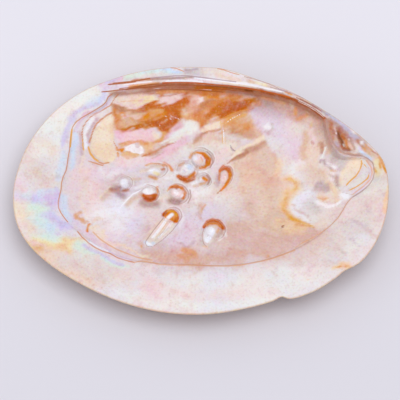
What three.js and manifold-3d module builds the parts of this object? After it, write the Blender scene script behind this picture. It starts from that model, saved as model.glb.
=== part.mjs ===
// One valve of a large freshwater pearl mussel, lying open side up, with pearls grown fast to its inner face.
//
// The valve is laid out in a plan frame of its own, in millimetres: u runs towards the front end, v towards the
// hinge, and w up out of the open side, with w = 0 at the rim. It is one sphere mesh whose vertices are moved:
// the top half becomes the inner face, the equator the rim, and the lower half the outer face. The pearls are
// flattened balls joined to it, and the whole is then tilted to the pose in which it lies on a table.

import * as THREE from "three";
import { mergeVertices } from "three/addons/utils/BufferGeometryUtils.js";
import Module from "manifold-3d";

const HOLLOW_DEPTH = 16.5; // rim plane down to the floor of the hollow, at the pole
const WALL_THICKNESS = 3.1; // through the middle of the valve
const RIM_THICKNESS = 1.3;
const RIM_ROUNDING = 0.35;
const FLANK_FULLNESS = 0.46; // how full the outer face is between the shoulder and the rim
const REST_TILT = 3; // degrees that the hinge side lies higher than the open side
const REST_ROLL = -1.3; // turn about the front-to-hinge axis; below zero the front end lies higher
const FOOT_FLAT = 0.3; // how much is worn flat where the valve rests
const POLE = { u: -5, v: 5 }; // middle of the hollow, round which the stations turn

// Rings of the mesh from the pole out over the inner face, and back over the outer face.
const FLOOR_RINGS = 13;
const WALL_RINGS = 3;
const BORDER_RINGS = 8;
const FLANK_RINGS = 7;
const BACK_RINGS = 5;
const STATIONS_PER_RIM_POINT = 3;

// The rim, seen square to its plane, from the rear end along the belly edge to the front and back by the hinge.
// Two old chips break the belly edge at u = 38 and at u = 65.
const RIM_POINTS = [
  [-90.5, 0], [-88.5, -15], [-83, -25.5], [-73, -35.5], [-58, -45.5], [-39, -54.5], [-18, -60], [3, -61],
  [22, -58], [34, -54.5], [38, -52.5], [42, -53.5], [54, -49.5], [64, -43], [67.5, -40], [75.5, -35.5],
  [83, -26], [88.5, -12.5], [90.5, 3], [88.5, 16], [81.5, 25.5], [70.5, 35.5], [56.5, 45.5], [44, 53],
  [29, 59], [12, 65], [2, 66], [-14, 66], [-29, 64], [-44, 59.5], [-60, 52], [-73.5, 40.5], [-83.5, 26],
  [-88.5, 12.5],
];

// The edge of the hollow: the line where the mantle was fixed, the front muscle's scar, and the hinge's lip.
const HOLLOW_POINTS = [
  [-45.5, 52], [-48, 48], [-58.5, 40.5], [-63.5, 33], [-65, 21], [-68, 6], [-69, -5], [-66, -12.5],
  [-59, -19], [-46.5, -28], [-30, -33.5], [-10, -35], [13, -35.5], [33.5, -32], [53.5, -23], [66, -12],
  [73, -1.5], [82, 5], [84.5, 12], [81, 18.3], [76, 19.2], [69.5, 19.8], [65, 23.5], [62, 31],
  [60.3, 39], [51.5, 46.2], [43.5, 50.3], [25, 55.5], [5, 58], [-18, 58.5], [-34, 56],
];

// Sections round the pole, by the angle in degrees from the front end towards the hinge: how far the border
// drops from the rim to the hollow's edge, how deep the floor lies there, how far the wall between the two runs
// in plan, how steeply the outer face leaves the rim, and where its shoulder is as a share of the hollow's radius.
const SECTIONS = [
  { at: 0, borderDrop: 4.2, floorDrop: 5.4, wallRun: 1.2, outerSlope: 42, shoulder: 0.75 },
  { at: 7, borderDrop: 3.4, floorDrop: 5.6, wallRun: 1.5, outerSlope: 50, shoulder: 0.78 },
  { at: 15, borderDrop: 2.5, floorDrop: 6.2, wallRun: 1.5, outerSlope: 65, shoulder: 0.82 },
  { at: 24, borderDrop: 2.5, floorDrop: 6.8, wallRun: 0.8, outerSlope: 85, shoulder: 0.86 },
  { at: 33, borderDrop: 2.3, floorDrop: 7.0, wallRun: 0.5, outerSlope: 100, shoulder: 0.90 },
  { at: 45, borderDrop: 2.0, floorDrop: 8.0, wallRun: 0.5, outerSlope: 98, shoulder: 0.92 },
  { at: 60, borderDrop: 2.0, floorDrop: 10.0, wallRun: 0.6, outerSlope: 86, shoulder: 0.90 },
  { at: 90, borderDrop: 2.0, floorDrop: 10.5, wallRun: 0.8, outerSlope: 78, shoulder: 0.90 },
  { at: 112, borderDrop: 2.0, floorDrop: 9.5, wallRun: 1.0, outerSlope: 72, shoulder: 0.88 },
  { at: 125, borderDrop: 2.0, floorDrop: 7.0, wallRun: 1.2, outerSlope: 58, shoulder: 0.84 },
  { at: 135, borderDrop: 2.8, floorDrop: 4.6, wallRun: 1.2, outerSlope: 42, shoulder: 0.78 },
  { at: 150, borderDrop: 4.2, floorDrop: 4.9, wallRun: 1.2, outerSlope: 30, shoulder: 0.74 },
  { at: 170, borderDrop: 5.5, floorDrop: 6.0, wallRun: 1.2, outerSlope: 24, shoulder: 0.72 },
  { at: 200, borderDrop: 5.8, floorDrop: 6.3, wallRun: 1.2, outerSlope: 22, shoulder: 0.72 },
  { at: 270, borderDrop: 6.2, floorDrop: 6.7, wallRun: 1.2, outerSlope: 22, shoulder: 0.72 },
  { at: 320, borderDrop: 6.2, floorDrop: 6.7, wallRun: 1.2, outerSlope: 24, shoulder: 0.72 },
  { at: 345, borderDrop: 5.2, floorDrop: 6.0, wallRun: 1.2, outerSlope: 32, shoulder: 0.73 },
  { at: 360, borderDrop: 4.2, floorDrop: 5.4, wallRun: 1.2, outerSlope: 42, shoulder: 0.75 },
];

// Broad rounded swellings, below zero for dents: centre, reach along u and v, and height.
const FRONT_HOLLOW = { at: [35, 14], reach: [20, 20], height: -2.5 };
const REAR_SCAR = { at: [-49, 31], reach: [5, 10], height: -0.7 };
const FRONT_SCAR = { at: [76.5, 13], reach: [4, 6], height: -0.8 };
const BEAK = { at: [48, 36], reach: [17, 14], height: -2.5 };

// Raised lines of the inner face, below zero for grooves: the points they run through, their height and reach.
const RIDGES = [
  { name: "hinge groove", along: [[-44, 57.5], [-27, 60], [-7, 62], [18, 58.5]], height: -0.8, reach: 1.1 },
  { name: "hinge tooth", along: [[-20, 59.2], [-7, 60.2], [5, 60], [16, 58.4], [29, 56]], height: 0.8, reach: 1.0 },
  { name: "rear fold", along: [[-30, 23], [-16, 29], [-0.5, 35.5]], height: 1.3, reach: 3.5 },
  { name: "front fold", along: [[13, 21.5], [18.5, 25], [26.5, 29], [31.5, 34.5]], height: 1.1, reach: 2.2 },
  { name: "tail of the right drop", along: [[12, 15.5], [6, 5]], height: 1.1, reach: 1.7 },
  { name: "tail of the rear bead", along: [[-37.5, 9.5], [-41, 5]], height: 1.0, reach: 1.6 },
  { name: "tail of the brown bead", along: [[-25.5, 5], [-33, 0], [-39.5, -3]], height: 1.3, reach: 1.7 },
  { name: "tail of the gold drop", along: [[-14.5, -7], [-20, -15], [-25.5, -23]], height: 1.3, reach: 1.7 },
  { name: "tail of the belly pearl", along: [[6, -14.5], [1.5, -23.5]], height: 1.3, reach: 1.9 },
];

// The pearls: where each sits, its half-length and half-width, the way its length points in degrees, and its height.
const PEARLS = [
  { at: [-22.5, 16.5], radii: [4.9, 3.1], turn: 15, height: 1.9 },
  { at: [-7.5, 17.5], radii: [4.3, 4.1], turn: 0, height: 3.4 },
  { at: [0, 23.5], radii: [5.0, 4.6], turn: 20, height: 3.6 },
  { at: [1.5, 12.5], radii: [3.1, 2.9], turn: 0, height: 2.3 },
  { at: [12, 15.5], radii: [3.9, 3.3], turn: 60, height: 2.8 },
  { at: [-37.5, 9.5], radii: [3.2, 2.8], turn: 50, height: 2.2 },
  { at: [-25.5, 5], radii: [4.0, 3.5], turn: 30, height: 2.8 },
  { at: [-11.5, 5], radii: [4.4, 4.2], turn: 0, height: 3.4 },
  { at: [-14.5, -7], radii: [4.3, 3.6], turn: 55, height: 3.0 },
  { at: [6, -14.5], radii: [5.0, 4.4], turn: 70, height: 3.4 },
];
const PEARL_SEGMENTS = 12;
const PEARL_RINGS = 8;
const PEARL_ROOT = 0.45; // depth of the buried half of a pearl, against its height
const PEARL_MOAT = { height: -0.5, reach: 1.5 }; // the dip round each pearl; its reach is in pearl radii

const shellMaterial = new THREE.MeshStandardMaterial({ color: 0xe6d6d2, roughness: 0.3, metalness: 0.0 });

function closedCurve(points) {
  const corners = points.map(([u, v]) => new THREE.Vector3(u, v, 0));
  return new THREE.CatmullRomCurve3(corners, true, "centripetal");
}

function angleOf(u, v) {
  const degrees = THREE.MathUtils.radToDeg(Math.atan2(v - POLE.v, u - POLE.u));
  return THREE.MathUtils.euclideanModulo(degrees, 360);
}

// A closed curve round the pole as a list of angle and radius, sorted by angle.
function polarTable(points) {
  const samplesPerPoint = 24;
  const samples = closedCurve(points).getPoints(points.length * samplesPerPoint).slice(1);
  const table = samples.map((p) => ({ at: angleOf(p.x, p.y), radius: Math.hypot(p.x - POLE.u, p.y - POLE.v) }));
  table.sort((a, b) => a.at - b.at);
  const first = table[0];
  const last = table.at(-1);
  return [{ ...last, at: last.at - 360 }, ...table, { ...first, at: first.at + 360 }];
}

// The two neighbours of an angle in a sorted table, and how far between them it lies.
function bracket(table, angle) {
  const next = Math.max(1, table.findIndex((row) => row.at >= angle));
  const [a, b] = [table[next - 1], table[next]];
  return { a, b, share: (angle - a.at) / (b.at - a.at) };
}

function radiusAt(table, angle) {
  const { a, b, share } = bracket(table, angle);
  return THREE.MathUtils.lerp(a.radius, b.radius, share);
}

function sectionAt(angle) {
  const { a, b, share } = bracket(SECTIONS, angle);
  const eased = THREE.MathUtils.smoothstep(share, 0, 1);
  const mix = (key) => THREE.MathUtils.lerp(a[key], b[key], eased);
  return {
    angle,
    borderDrop: mix("borderDrop"),
    floorDrop: mix("floorDrop"),
    wallRun: mix("wallRun"),
    outerSlope: THREE.MathUtils.degToRad(mix("outerSlope")),
    shoulder: mix("shoulder"),
  };
}

function swelling({ at, reach, height }, u, v) {
  const x = (u - at[0]) / reach[0];
  const y = (v - at[1]) / reach[1];
  return height * Math.exp(-0.5 * (x * x + y * y));
}

function distanceToLine(points, u, v) {
  const here = new THREE.Vector3(u, v, 0);
  const nearest = new THREE.Vector3();
  const corners = points.map(([x, y]) => new THREE.Vector3(x, y, 0));
  const distances = corners.slice(1).map((corner, i) => {
    new THREE.Line3(corners[i], corner).closestPointToPoint(here, true, nearest);
    return nearest.distanceTo(here);
  });
  return Math.min(...distances);
}

function ridge({ along, height, reach }, u, v) {
  const x = distanceToLine(along, u, v) / reach;
  return height * Math.exp(-0.5 * x * x);
}

function moat(pearl, u, v) {
  const reach = pearl.radii[0] * PEARL_MOAT.reach;
  return swelling({ at: pearl.at, reach: [reach, reach], height: PEARL_MOAT.height }, u, v);
}

function relief(u, v) {
  const scars = swelling(REAR_SCAR, u, v) + swelling(FRONT_SCAR, u, v);
  const ridges = RIDGES.reduce((sum, line) => sum + ridge(line, u, v), 0);
  const moats = PEARLS.reduce((sum, pearl) => sum + moat(pearl, u, v), 0);
  return scars + ridges + moats;
}

// The same curve with its radius averaged over a stretch of angles, so that chips and notches vanish.
function evenedTable(table, window) {
  const step = 2;
  const rows = [];
  for (let at = 0; at <= 360; at += step) {
    let sum = 0;
    for (let offset = -window; offset <= window; offset += step) {
      sum += radiusAt(table, THREE.MathUtils.euclideanModulo(at + offset, 360));
    }
    rows.push({ at, radius: sum / (1 + (2 * window) / step) });
  }
  return rows;
}

const rimTable = polarTable(RIM_POINTS);
const hollowTable = polarTable(HOLLOW_POINTS);
const evenRimTable = evenedTable(rimTable, 4);
const evenHollowTable = evenedTable(hollowTable, 12);

function toPlan(angle, radius) {
  const turn = THREE.MathUtils.degToRad(angle);
  return { u: POLE.u + radius * Math.cos(turn), v: POLE.v + radius * Math.sin(turn) };
}

// The floor is one smooth bowl, given here by its height at a radius from the pole, without its relief.
function floorHeight(section, radius) {
  const share = radius / radiusAt(evenHollowTable, section.angle);
  const { u, v } = toPlan(section.angle, radius);
  const bowl = -HOLLOW_DEPTH + (HOLLOW_DEPTH - section.floorDrop) * share ** 2;
  return bowl + swelling(FRONT_HOLLOW, u, v) * Math.max(0, 1 - share ** 4);
}

function floorPoint(section, share) {
  const radius = share * (radiusAt(hollowTable, section.angle) - section.wallRun);
  return { radius, w: floorHeight(section, radius) };
}

function withRelief(section, { radius, w }, amount = 1) {
  const { u, v } = toPlan(section.angle, radius);
  return { u, v, w: w + amount * relief(u, v) };
}

// The rim with its chips at the very edge, and without them further in.
function rimRadius(section, share) {
  const chipped = radiusAt(rimTable, section.angle);
  const even = radiusAt(evenRimTable, section.angle);
  return THREE.MathUtils.lerp(chipped, even, Math.min(1, 4 * share));
}

// The border falls gently from the rim, then faster towards the hollow.
function borderPoint(section, share) {
  const outside = rimRadius(section, share) - RIM_ROUNDING;
  const inside = radiusAt(hollowTable, section.angle);
  const radius = THREE.MathUtils.lerp(outside, inside, share);
  const w = -section.borderDrop * (0.25 * share + 0.75 * share ** 1.6);
  return withRelief(section, { radius, w }, Math.min(1, 6 * share));
}

function wallPoint(section, share) {
  const top = radiusAt(hollowTable, section.angle);
  const foot = floorPoint(section, 1);
  const fall = 0.5 * share + 0.5 * THREE.MathUtils.smoothstep(share, 0, 1);
  const radius = THREE.MathUtils.lerp(top, foot.radius, share);
  return withRelief(section, { radius, w: THREE.MathUtils.lerp(-section.borderDrop, foot.w, fall) });
}

// The outer face follows the floor a wall's thickness below it as far out as the shoulder, and from there runs
// up to the rim on a cubic curve.
function backPoint(section, share) {
  const radius = share * radiusAt(evenHollowTable, section.angle);
  const w = floorHeight(section, radius);
  const slope = w - floorHeight(section, Math.max(0, radius - 1));
  return { radius, w: w - WALL_THICKNESS * Math.hypot(1, slope), slope };
}

function flankPoint(section, share) {
  const shoulder = backPoint(section, section.shoulder);
  const lip = { radius: rimRadius(section, share) - RIM_ROUNDING / 2, w: -RIM_THICKNESS };
  const pull = FLANK_FULLNESS * Math.hypot(lip.radius - shoulder.radius, lip.w - shoulder.w);
  const away = { x: pull * Math.cos(section.outerSlope), y: pull * Math.sin(section.outerSlope) };
  const curve = new THREE.CubicBezierCurve(
    new THREE.Vector2(lip.radius, lip.w),
    new THREE.Vector2(lip.radius - away.x, lip.w - away.y),
    new THREE.Vector2(shoulder.radius + pull, shoulder.w + shoulder.slope * pull),
    new THREE.Vector2(shoulder.radius, shoulder.w),
  );
  const point = curve.getPoint(share);
  return { radius: point.x, w: point.y };
}

function withBeak(section, { radius, w }) {
  const { u, v } = toPlan(section.angle, radius);
  const belowRim = THREE.MathUtils.smoothstep(-w, RIM_THICKNESS, RIM_THICKNESS + 8);
  return { u, v, w: w + belowRim * swelling(BEAK, u, v) };
}

function rimPoint(section) {
  return { ...toPlan(section.angle, rimRadius(section, 0)), w: -0.4 * RIM_THICKNESS };
}

// Every ring from the pole of the inner face round the rim to the pole of the outer face.
function ringList() {
  const rings = [];
  for (let i = 0; i < FLOOR_RINGS; i += 1) {
    rings.push((s) => withRelief(s, floorPoint(s, i / FLOOR_RINGS)));
  }
  for (let i = 0; i < WALL_RINGS; i += 1) {
    rings.push((s) => wallPoint(s, 1 - i / WALL_RINGS));
  }
  for (let i = 0; i <= BORDER_RINGS; i += 1) {
    rings.push((s) => borderPoint(s, 1 - i / BORDER_RINGS));
  }
  rings.push(rimPoint);
  for (let i = 0; i < FLANK_RINGS; i += 1) {
    rings.push((s) => withBeak(s, flankPoint(s, i / FLANK_RINGS)));
  }
  for (let i = 0; i <= BACK_RINGS; i += 1) {
    rings.push((s) => withBeak(s, backPoint(s, s.shoulder * (1 - i / BACK_RINGS))));
  }
  return rings;
}

function valveGeometry() {
  const stationCount = RIM_POINTS.length * STATIONS_PER_RIM_POINT;
  const rimSamples = closedCurve(RIM_POINTS).getPoints(stationCount);
  const sections = rimSamples.map((p) => sectionAt(angleOf(p.x, p.y)));
  const rings = ringList();
  const geometry = new THREE.SphereGeometry(1, stationCount, rings.length - 1);
  const position = geometry.getAttribute("position");
  rings.forEach((pointOn, row) => {
    for (let i = 0; i <= stationCount; i += 1) {
      const { u, v, w } = pointOn(sections[i % stationCount]);
      position.setXYZ(row * (stationCount + 1) + i, u, v, w);
    }
  });
  return geometry;
}

function floorUnder(u, v) {
  const radius = Math.hypot(u - POLE.u, v - POLE.v);
  return floorHeight(sectionAt(angleOf(u, v)), radius) + relief(u, v);
}

function pearlGeometry({ at, radii, turn, height }) {
  const geometry = new THREE.SphereGeometry(1, PEARL_SEGMENTS, PEARL_RINGS);
  geometry.rotateX(Math.PI / 2);
  const position = geometry.getAttribute("position");
  for (let i = 0; i < position.count; i += 1) {
    const z = position.getZ(i);
    position.setZ(i, z < 0 ? z * PEARL_ROOT : z);
  }
  geometry.scale(radii[0], radii[1], height);
  geometry.rotateZ(THREE.MathUtils.degToRad(turn));
  geometry.translate(at[0], at[1], floorUnder(at[0], at[1]) + 0.15 * height);
  return geometry;
}

const wasm = await Module();
wasm.setup();

function toSolid(geometry) {
  geometry.deleteAttribute("normal");
  geometry.deleteAttribute("uv");
  const merged = mergeVertices(geometry);
  return new wasm.Manifold(
    new wasm.Mesh({
      numProp: 3,
      vertProperties: new Float32Array(merged.getAttribute("position").array),
      triVerts: new Uint32Array(merged.index.array),
    }),
  );
}

function toGeometry(solid) {
  const { vertProperties, triVerts } = solid.getMesh();
  const geometry = new THREE.BufferGeometry();
  geometry.setAttribute("position", new THREE.BufferAttribute(new Float32Array(vertProperties), 3));
  geometry.setIndex(new THREE.BufferAttribute(new Uint32Array(triVerts), 1));
  return geometry;
}

// Tilts the valve as it lies, centres it over the origin and wears flat the spot that it rests on.
function layOnTable(geometry) {
  geometry.rotateY(THREE.MathUtils.degToRad(REST_ROLL));
  geometry.rotateX(THREE.MathUtils.degToRad(REST_TILT));
  geometry.computeBoundingBox();
  const { min, max } = geometry.boundingBox;
  geometry.translate(-(min.x + max.x) / 2, -(min.y + max.y) / 2, -min.z - FOOT_FLAT);
  const position = geometry.getAttribute("position");
  for (let i = 0; i < position.count; i += 1) {
    position.setZ(i, Math.max(0, position.getZ(i)));
  }
  geometry.computeVertexNormals();
  return geometry;
}

const solid = PEARLS.reduce((whole, pearl) => whole.add(toSolid(pearlGeometry(pearl))), toSolid(valveGeometry()));

const shell = new THREE.Mesh(layOnTable(toGeometry(solid)), shellMaterial);
shell.name = "shell";

const group = new THREE.Group();
group.add(shell);

export default group;
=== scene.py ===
"""One valve of a large freshwater pearl mussel, with the pearls that grew fast to its inner face.

The form is worked out in a plan frame of its own, in millimetres: u runs towards the front end, v towards the
hinge, and w up out of the open side, with w = 0 at the rim. The finished piece is then tilted to the pose in
which it lies on a table and written in metres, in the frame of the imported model.
"""

import logging
import math
from dataclasses import dataclass, field, replace
from enum import Enum

import bpy
import numpy as np
from mathutils import Matrix, Vector


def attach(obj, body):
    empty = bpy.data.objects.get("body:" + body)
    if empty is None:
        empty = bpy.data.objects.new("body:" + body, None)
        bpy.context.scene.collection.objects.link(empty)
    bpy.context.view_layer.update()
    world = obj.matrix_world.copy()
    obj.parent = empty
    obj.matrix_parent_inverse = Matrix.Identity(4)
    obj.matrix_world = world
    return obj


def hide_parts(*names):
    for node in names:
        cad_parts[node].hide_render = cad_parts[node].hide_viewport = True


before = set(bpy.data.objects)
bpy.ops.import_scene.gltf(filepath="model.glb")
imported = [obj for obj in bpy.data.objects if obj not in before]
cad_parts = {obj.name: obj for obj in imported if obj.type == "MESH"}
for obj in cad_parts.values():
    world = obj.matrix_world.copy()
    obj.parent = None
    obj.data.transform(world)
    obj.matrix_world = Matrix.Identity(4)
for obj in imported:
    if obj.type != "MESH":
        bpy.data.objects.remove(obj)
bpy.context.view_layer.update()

LOG = logging.getLogger("mussel")
MM = 0.001
# Distances to lines are followed no further than this; it is far outside each line.
FAR_AWAY = 8.0
# Which way the fine streaks under the hinge run, as an angle from the front end towards the hinge.
STREAK_HEADING = math.radians(27.0)

Point = tuple[float, float]
Line = tuple[Point, ...]
# A line in the photo, as pixels across and down by turns.
Trail = tuple[float, ...]
# Red, green and blue from 0 to 255, as seen on a screen.
Screen = tuple[int, int, int]


def smoothstep(low: float, high: float, x: np.ndarray) -> np.ndarray:
    """Eases from 0 at low to 1 at high, and from 1 to 0 where high is below low."""
    t = np.clip((x - low) / (high - low), 0.0, 1.0)
    return t * t * (3.0 - 2.0 * t)


def bell(x: np.ndarray) -> np.ndarray:
    """A round hump, 1 at x = 0 and nearly 0 past x = 3."""
    return np.exp(-0.5 * x * x)


def closed_curve(points: Line, per_point: int) -> np.ndarray:
    """Draws a smooth closed curve through points.

    Args:
        points: corners that the curve passes through, in order.
        per_point: how many samples each stretch between two corners gets.

    Returns:
        The samples, one row of u and v each.
    """
    corners = np.asarray(points, float)
    count = len(corners)
    share = np.arange(per_point)[:, None] / per_point
    stretches = []
    for i in range(count):
        before, start, end, after = (corners[(i + k) % count] for k in (-1, 0, 1, 2))
        gaps = [math.sqrt(np.linalg.norm(b - a)) for a, b in ((before, start), (start, end), (end, after))]
        leave = (start - before) / gaps[0] - (end - before) / (gaps[0] + gaps[1]) + (end - start) / gaps[1]
        arrive = (end - start) / gaps[1] - (after - start) / (gaps[1] + gaps[2]) + (after - end) / gaps[2]
        leave, arrive = leave * gaps[1], arrive * gaps[1]
        square = 3 * (end - start) - 2 * leave - arrive
        cube = 2 * (start - end) + leave + arrive
        stretches.append(start + share * (leave + share * (square + share * cube)))
    return np.concatenate(stretches)


def distance_to_line(points: Line, u: np.ndarray, v: np.ndarray) -> np.ndarray:
    """Measures how far each place is from a line.

    Args:
        points: the line's corners; one corner alone is a dot.
        u: places along the valve.
        v: places across the valve.

    Returns:
        Distances in millimetres, of the shape of u.
    """
    nearest = np.hypot(u - points[0][0], v - points[0][1])
    for (u0, v0), (u1, v1) in zip(points[:-1], points[1:]):
        du, dv = u1 - u0, v1 - v0
        t = np.clip(((u - u0) * du + (v - v0) * dv) / (du * du + dv * dv), 0.0, 1.0)
        nearest = np.minimum(nearest, np.hypot(u - u0 - t * du, v - v0 - t * dv))
    return nearest


def left_of_line(points: Line, u: np.ndarray, v: np.ndarray) -> np.ndarray:
    """Gives the distance to a line, above zero on its left and below zero on its right."""
    nearest = np.full(u.shape, 1e9)
    side = np.ones(u.shape)
    for (u0, v0), (u1, v1) in zip(points[:-1], points[1:]):
        du, dv = u1 - u0, v1 - v0
        t = np.clip(((u - u0) * du + (v - v0) * dv) / (du * du + dv * dv), 0.0, 1.0)
        gap = np.hypot(u - u0 - t * du, v - v0 - t * dv)
        closer = gap < nearest
        side = np.where(closer, np.sign(du * (v - v0) - dv * (u - u0)), side)
        nearest = np.where(closer, gap, nearest)
    return nearest * side


def inside_distance(points: Line, u: np.ndarray, v: np.ndarray) -> np.ndarray:
    """Gives the distance to a closed outline, above zero inside it and below zero outside."""
    ring = tuple(points) + (points[0],)
    inside = np.zeros(u.shape, bool)
    for (u0, v0), (u1, v1) in zip(ring[:-1], ring[1:]):
        if v0 != v1:
            crosses = (v0 > v) != (v1 > v)
            inside ^= crosses & (u < (u1 - u0) * (v - v0) / (v1 - v0) + u0)
    return np.where(inside, 1.0, -1.0) * distance_to_line(ring, u, v)


@dataclass(frozen=True)
class Ripples:
    """A smooth uneven pattern of crossing waves, from about -1 to 1, the same at each run."""

    seed: int
    wavelength: float
    count: int = 14
    stretch: float = 1.0
    spread: Point = (0.7, 1.5)

    def at(self, u: np.ndarray, v: np.ndarray) -> np.ndarray:
        """Gives the pattern's height at places u and v; stretch draws it out along u."""
        draw = np.random.default_rng(self.seed)
        total = np.zeros(np.shape(u))
        for _ in range(self.count):
            heading = draw.uniform(0.0, 2.0 * math.pi)
            pace = 2.0 * math.pi / (self.wavelength * draw.uniform(*self.spread))
            phase = draw.uniform(0.0, 2.0 * math.pi)
            total += np.sin(pace * (math.cos(heading) * u / self.stretch + math.sin(heading) * v) + phase)
        return total / math.sqrt(self.count)


@dataclass(frozen=True)
class Waves:
    """Ripples laid over one another, each with its height."""

    parts: tuple[tuple[float, Ripples], ...]

    def at(self, u: np.ndarray, v: np.ndarray) -> np.ndarray:
        """Gives the height of all the ripples together."""
        return sum(height * ripples.at(u, v) for height, ripples in self.parts)


@dataclass(frozen=True)
class Swelling:
    """A broad rounded rise, or a dent where its height is below zero."""

    at: Point
    reach: Point
    height: float

    def rise(self, u: np.ndarray, v: np.ndarray) -> np.ndarray:
        """Gives how far the swelling lifts each place."""
        across = (v - self.at[1]) / self.reach[1]
        return self.height * bell(np.hypot((u - self.at[0]) / self.reach[0], across))


@dataclass(frozen=True)
class Ridge:
    """A raised line, or a groove where its height is below zero."""

    along: Line
    height: float
    reach: float

    def rise(self, u: np.ndarray, v: np.ndarray) -> np.ndarray:
        """Gives how far the ridge lifts each place."""
        return self.height * bell(distance_to_line(self.along, u, v) / self.reach)


@dataclass(frozen=True)
class Step:
    """A place where the surface drops by a little along a line, to the line's left."""

    along: Line
    drop: float
    width: float = 0.5
    fade: float = 6.0

    def rise(self, u: np.ndarray, v: np.ndarray) -> np.ndarray:
        """Gives how far the step lowers each place; the drop is made up again over the fade."""
        across = left_of_line(self.along, u, v)
        return -self.drop * smoothstep(-self.width, self.width, across) * smoothstep(self.fade, 0.0, across)


@dataclass(frozen=True)
class Pearl:
    """A pearl grown fast to the inner face: its half-length and half-width, and which way it points."""

    name: str
    at: Point
    radii: Point
    turn: float
    height: float
    uneven: float = 0.04
    dome_rise: float = 1.15
    dome_flatness: float = 2.4
    dome_roundness: float = 0.58
    moat_depth: float = 0.5
    moat_reach: float = 1.5
    skirt_height: float = 0.32
    skirt_start: float = 1.36
    skirt_width: float = 0.14

    def polar(self, u: np.ndarray, v: np.ndarray) -> tuple[np.ndarray, np.ndarray]:
        """Gives each place's distance from the pearl's middle, 1 at its foot, and its bearing in radians."""
        turn = math.radians(self.turn)
        du, dv = u - self.at[0], v - self.at[1]
        along = (du * math.cos(turn) + dv * math.sin(turn)) / self.radii[0]
        across = (dv * math.cos(turn) - du * math.sin(turn)) / self.radii[1]
        bearing = np.arctan2(dv, du)
        wobble = np.sin(2 * bearing + self.at[0]) + 0.7 * np.sin(3 * bearing + self.at[1])
        return np.hypot(along, across) * (1.0 + self.uneven * wobble), bearing

    def rise(self, u: np.ndarray, v: np.ndarray) -> np.ndarray:
        """Gives how far the pearl lifts each place: a full dome in a shallow moat, with a faint skirt."""
        away, _ = self.polar(u, v)
        roundness = (1.0 - np.clip(away, 0.0, 1.0) ** self.dome_flatness) ** self.dome_roundness
        dome = self.dome_rise * self.height * roundness
        middle_away = np.hypot(u - self.at[0], v - self.at[1])
        moat = -self.moat_depth * bell(middle_away / (self.moat_reach * self.radii[0]))
        skirt = self.skirt_height * bell((away - self.skirt_start) / self.skirt_width)
        return dome + moat + skirt


@dataclass
class PolarCurve:
    """A closed curve round the pole, as a radius for each angle in degrees."""

    angles: np.ndarray
    radii: np.ndarray

    @classmethod
    def through(cls, points: Line, pole: Point) -> "PolarCurve":
        """Draws the curve through points.

        Args:
            points: corners in order round the pole.
            pole: the place that angles and radii are measured from.

        Returns:
            The curve.
        """
        samples = closed_curve(points, per_point=24)
        angles = np.degrees(np.arctan2(samples[:, 1] - pole[1], samples[:, 0] - pole[0])) % 360.0
        radii = np.hypot(samples[:, 0] - pole[0], samples[:, 1] - pole[1])
        order = np.argsort(angles)
        return cls(angles[order], radii[order])

    def radius(self, angle: np.ndarray) -> np.ndarray:
        """Gives the curve's radius at each angle."""
        return np.interp(angle, self.angles, self.radii, period=360.0)

    def evened(self, window: float) -> "PolarCurve":
        """Gives the same curve averaged over a window of degrees to each side, so that chips vanish."""
        step = 2.0
        angles = np.arange(0.0, 360.0, step)
        offsets = np.arange(-window, window + 1.0, step)
        return PolarCurve(angles, np.mean([self.radius(angles + offset) for offset in offsets], axis=0))


class Band(Enum):
    """The stretches of surface from the inner face's pole round the rim to the outer face's pole."""

    FLOOR = 105
    WALL = 8
    BORDER = 40
    RIM = 4
    FLANK = 26
    BACK = 17

    @property
    def rings(self) -> int:
        """How many rings of the mesh the stretch takes."""
        return self.value


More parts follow.
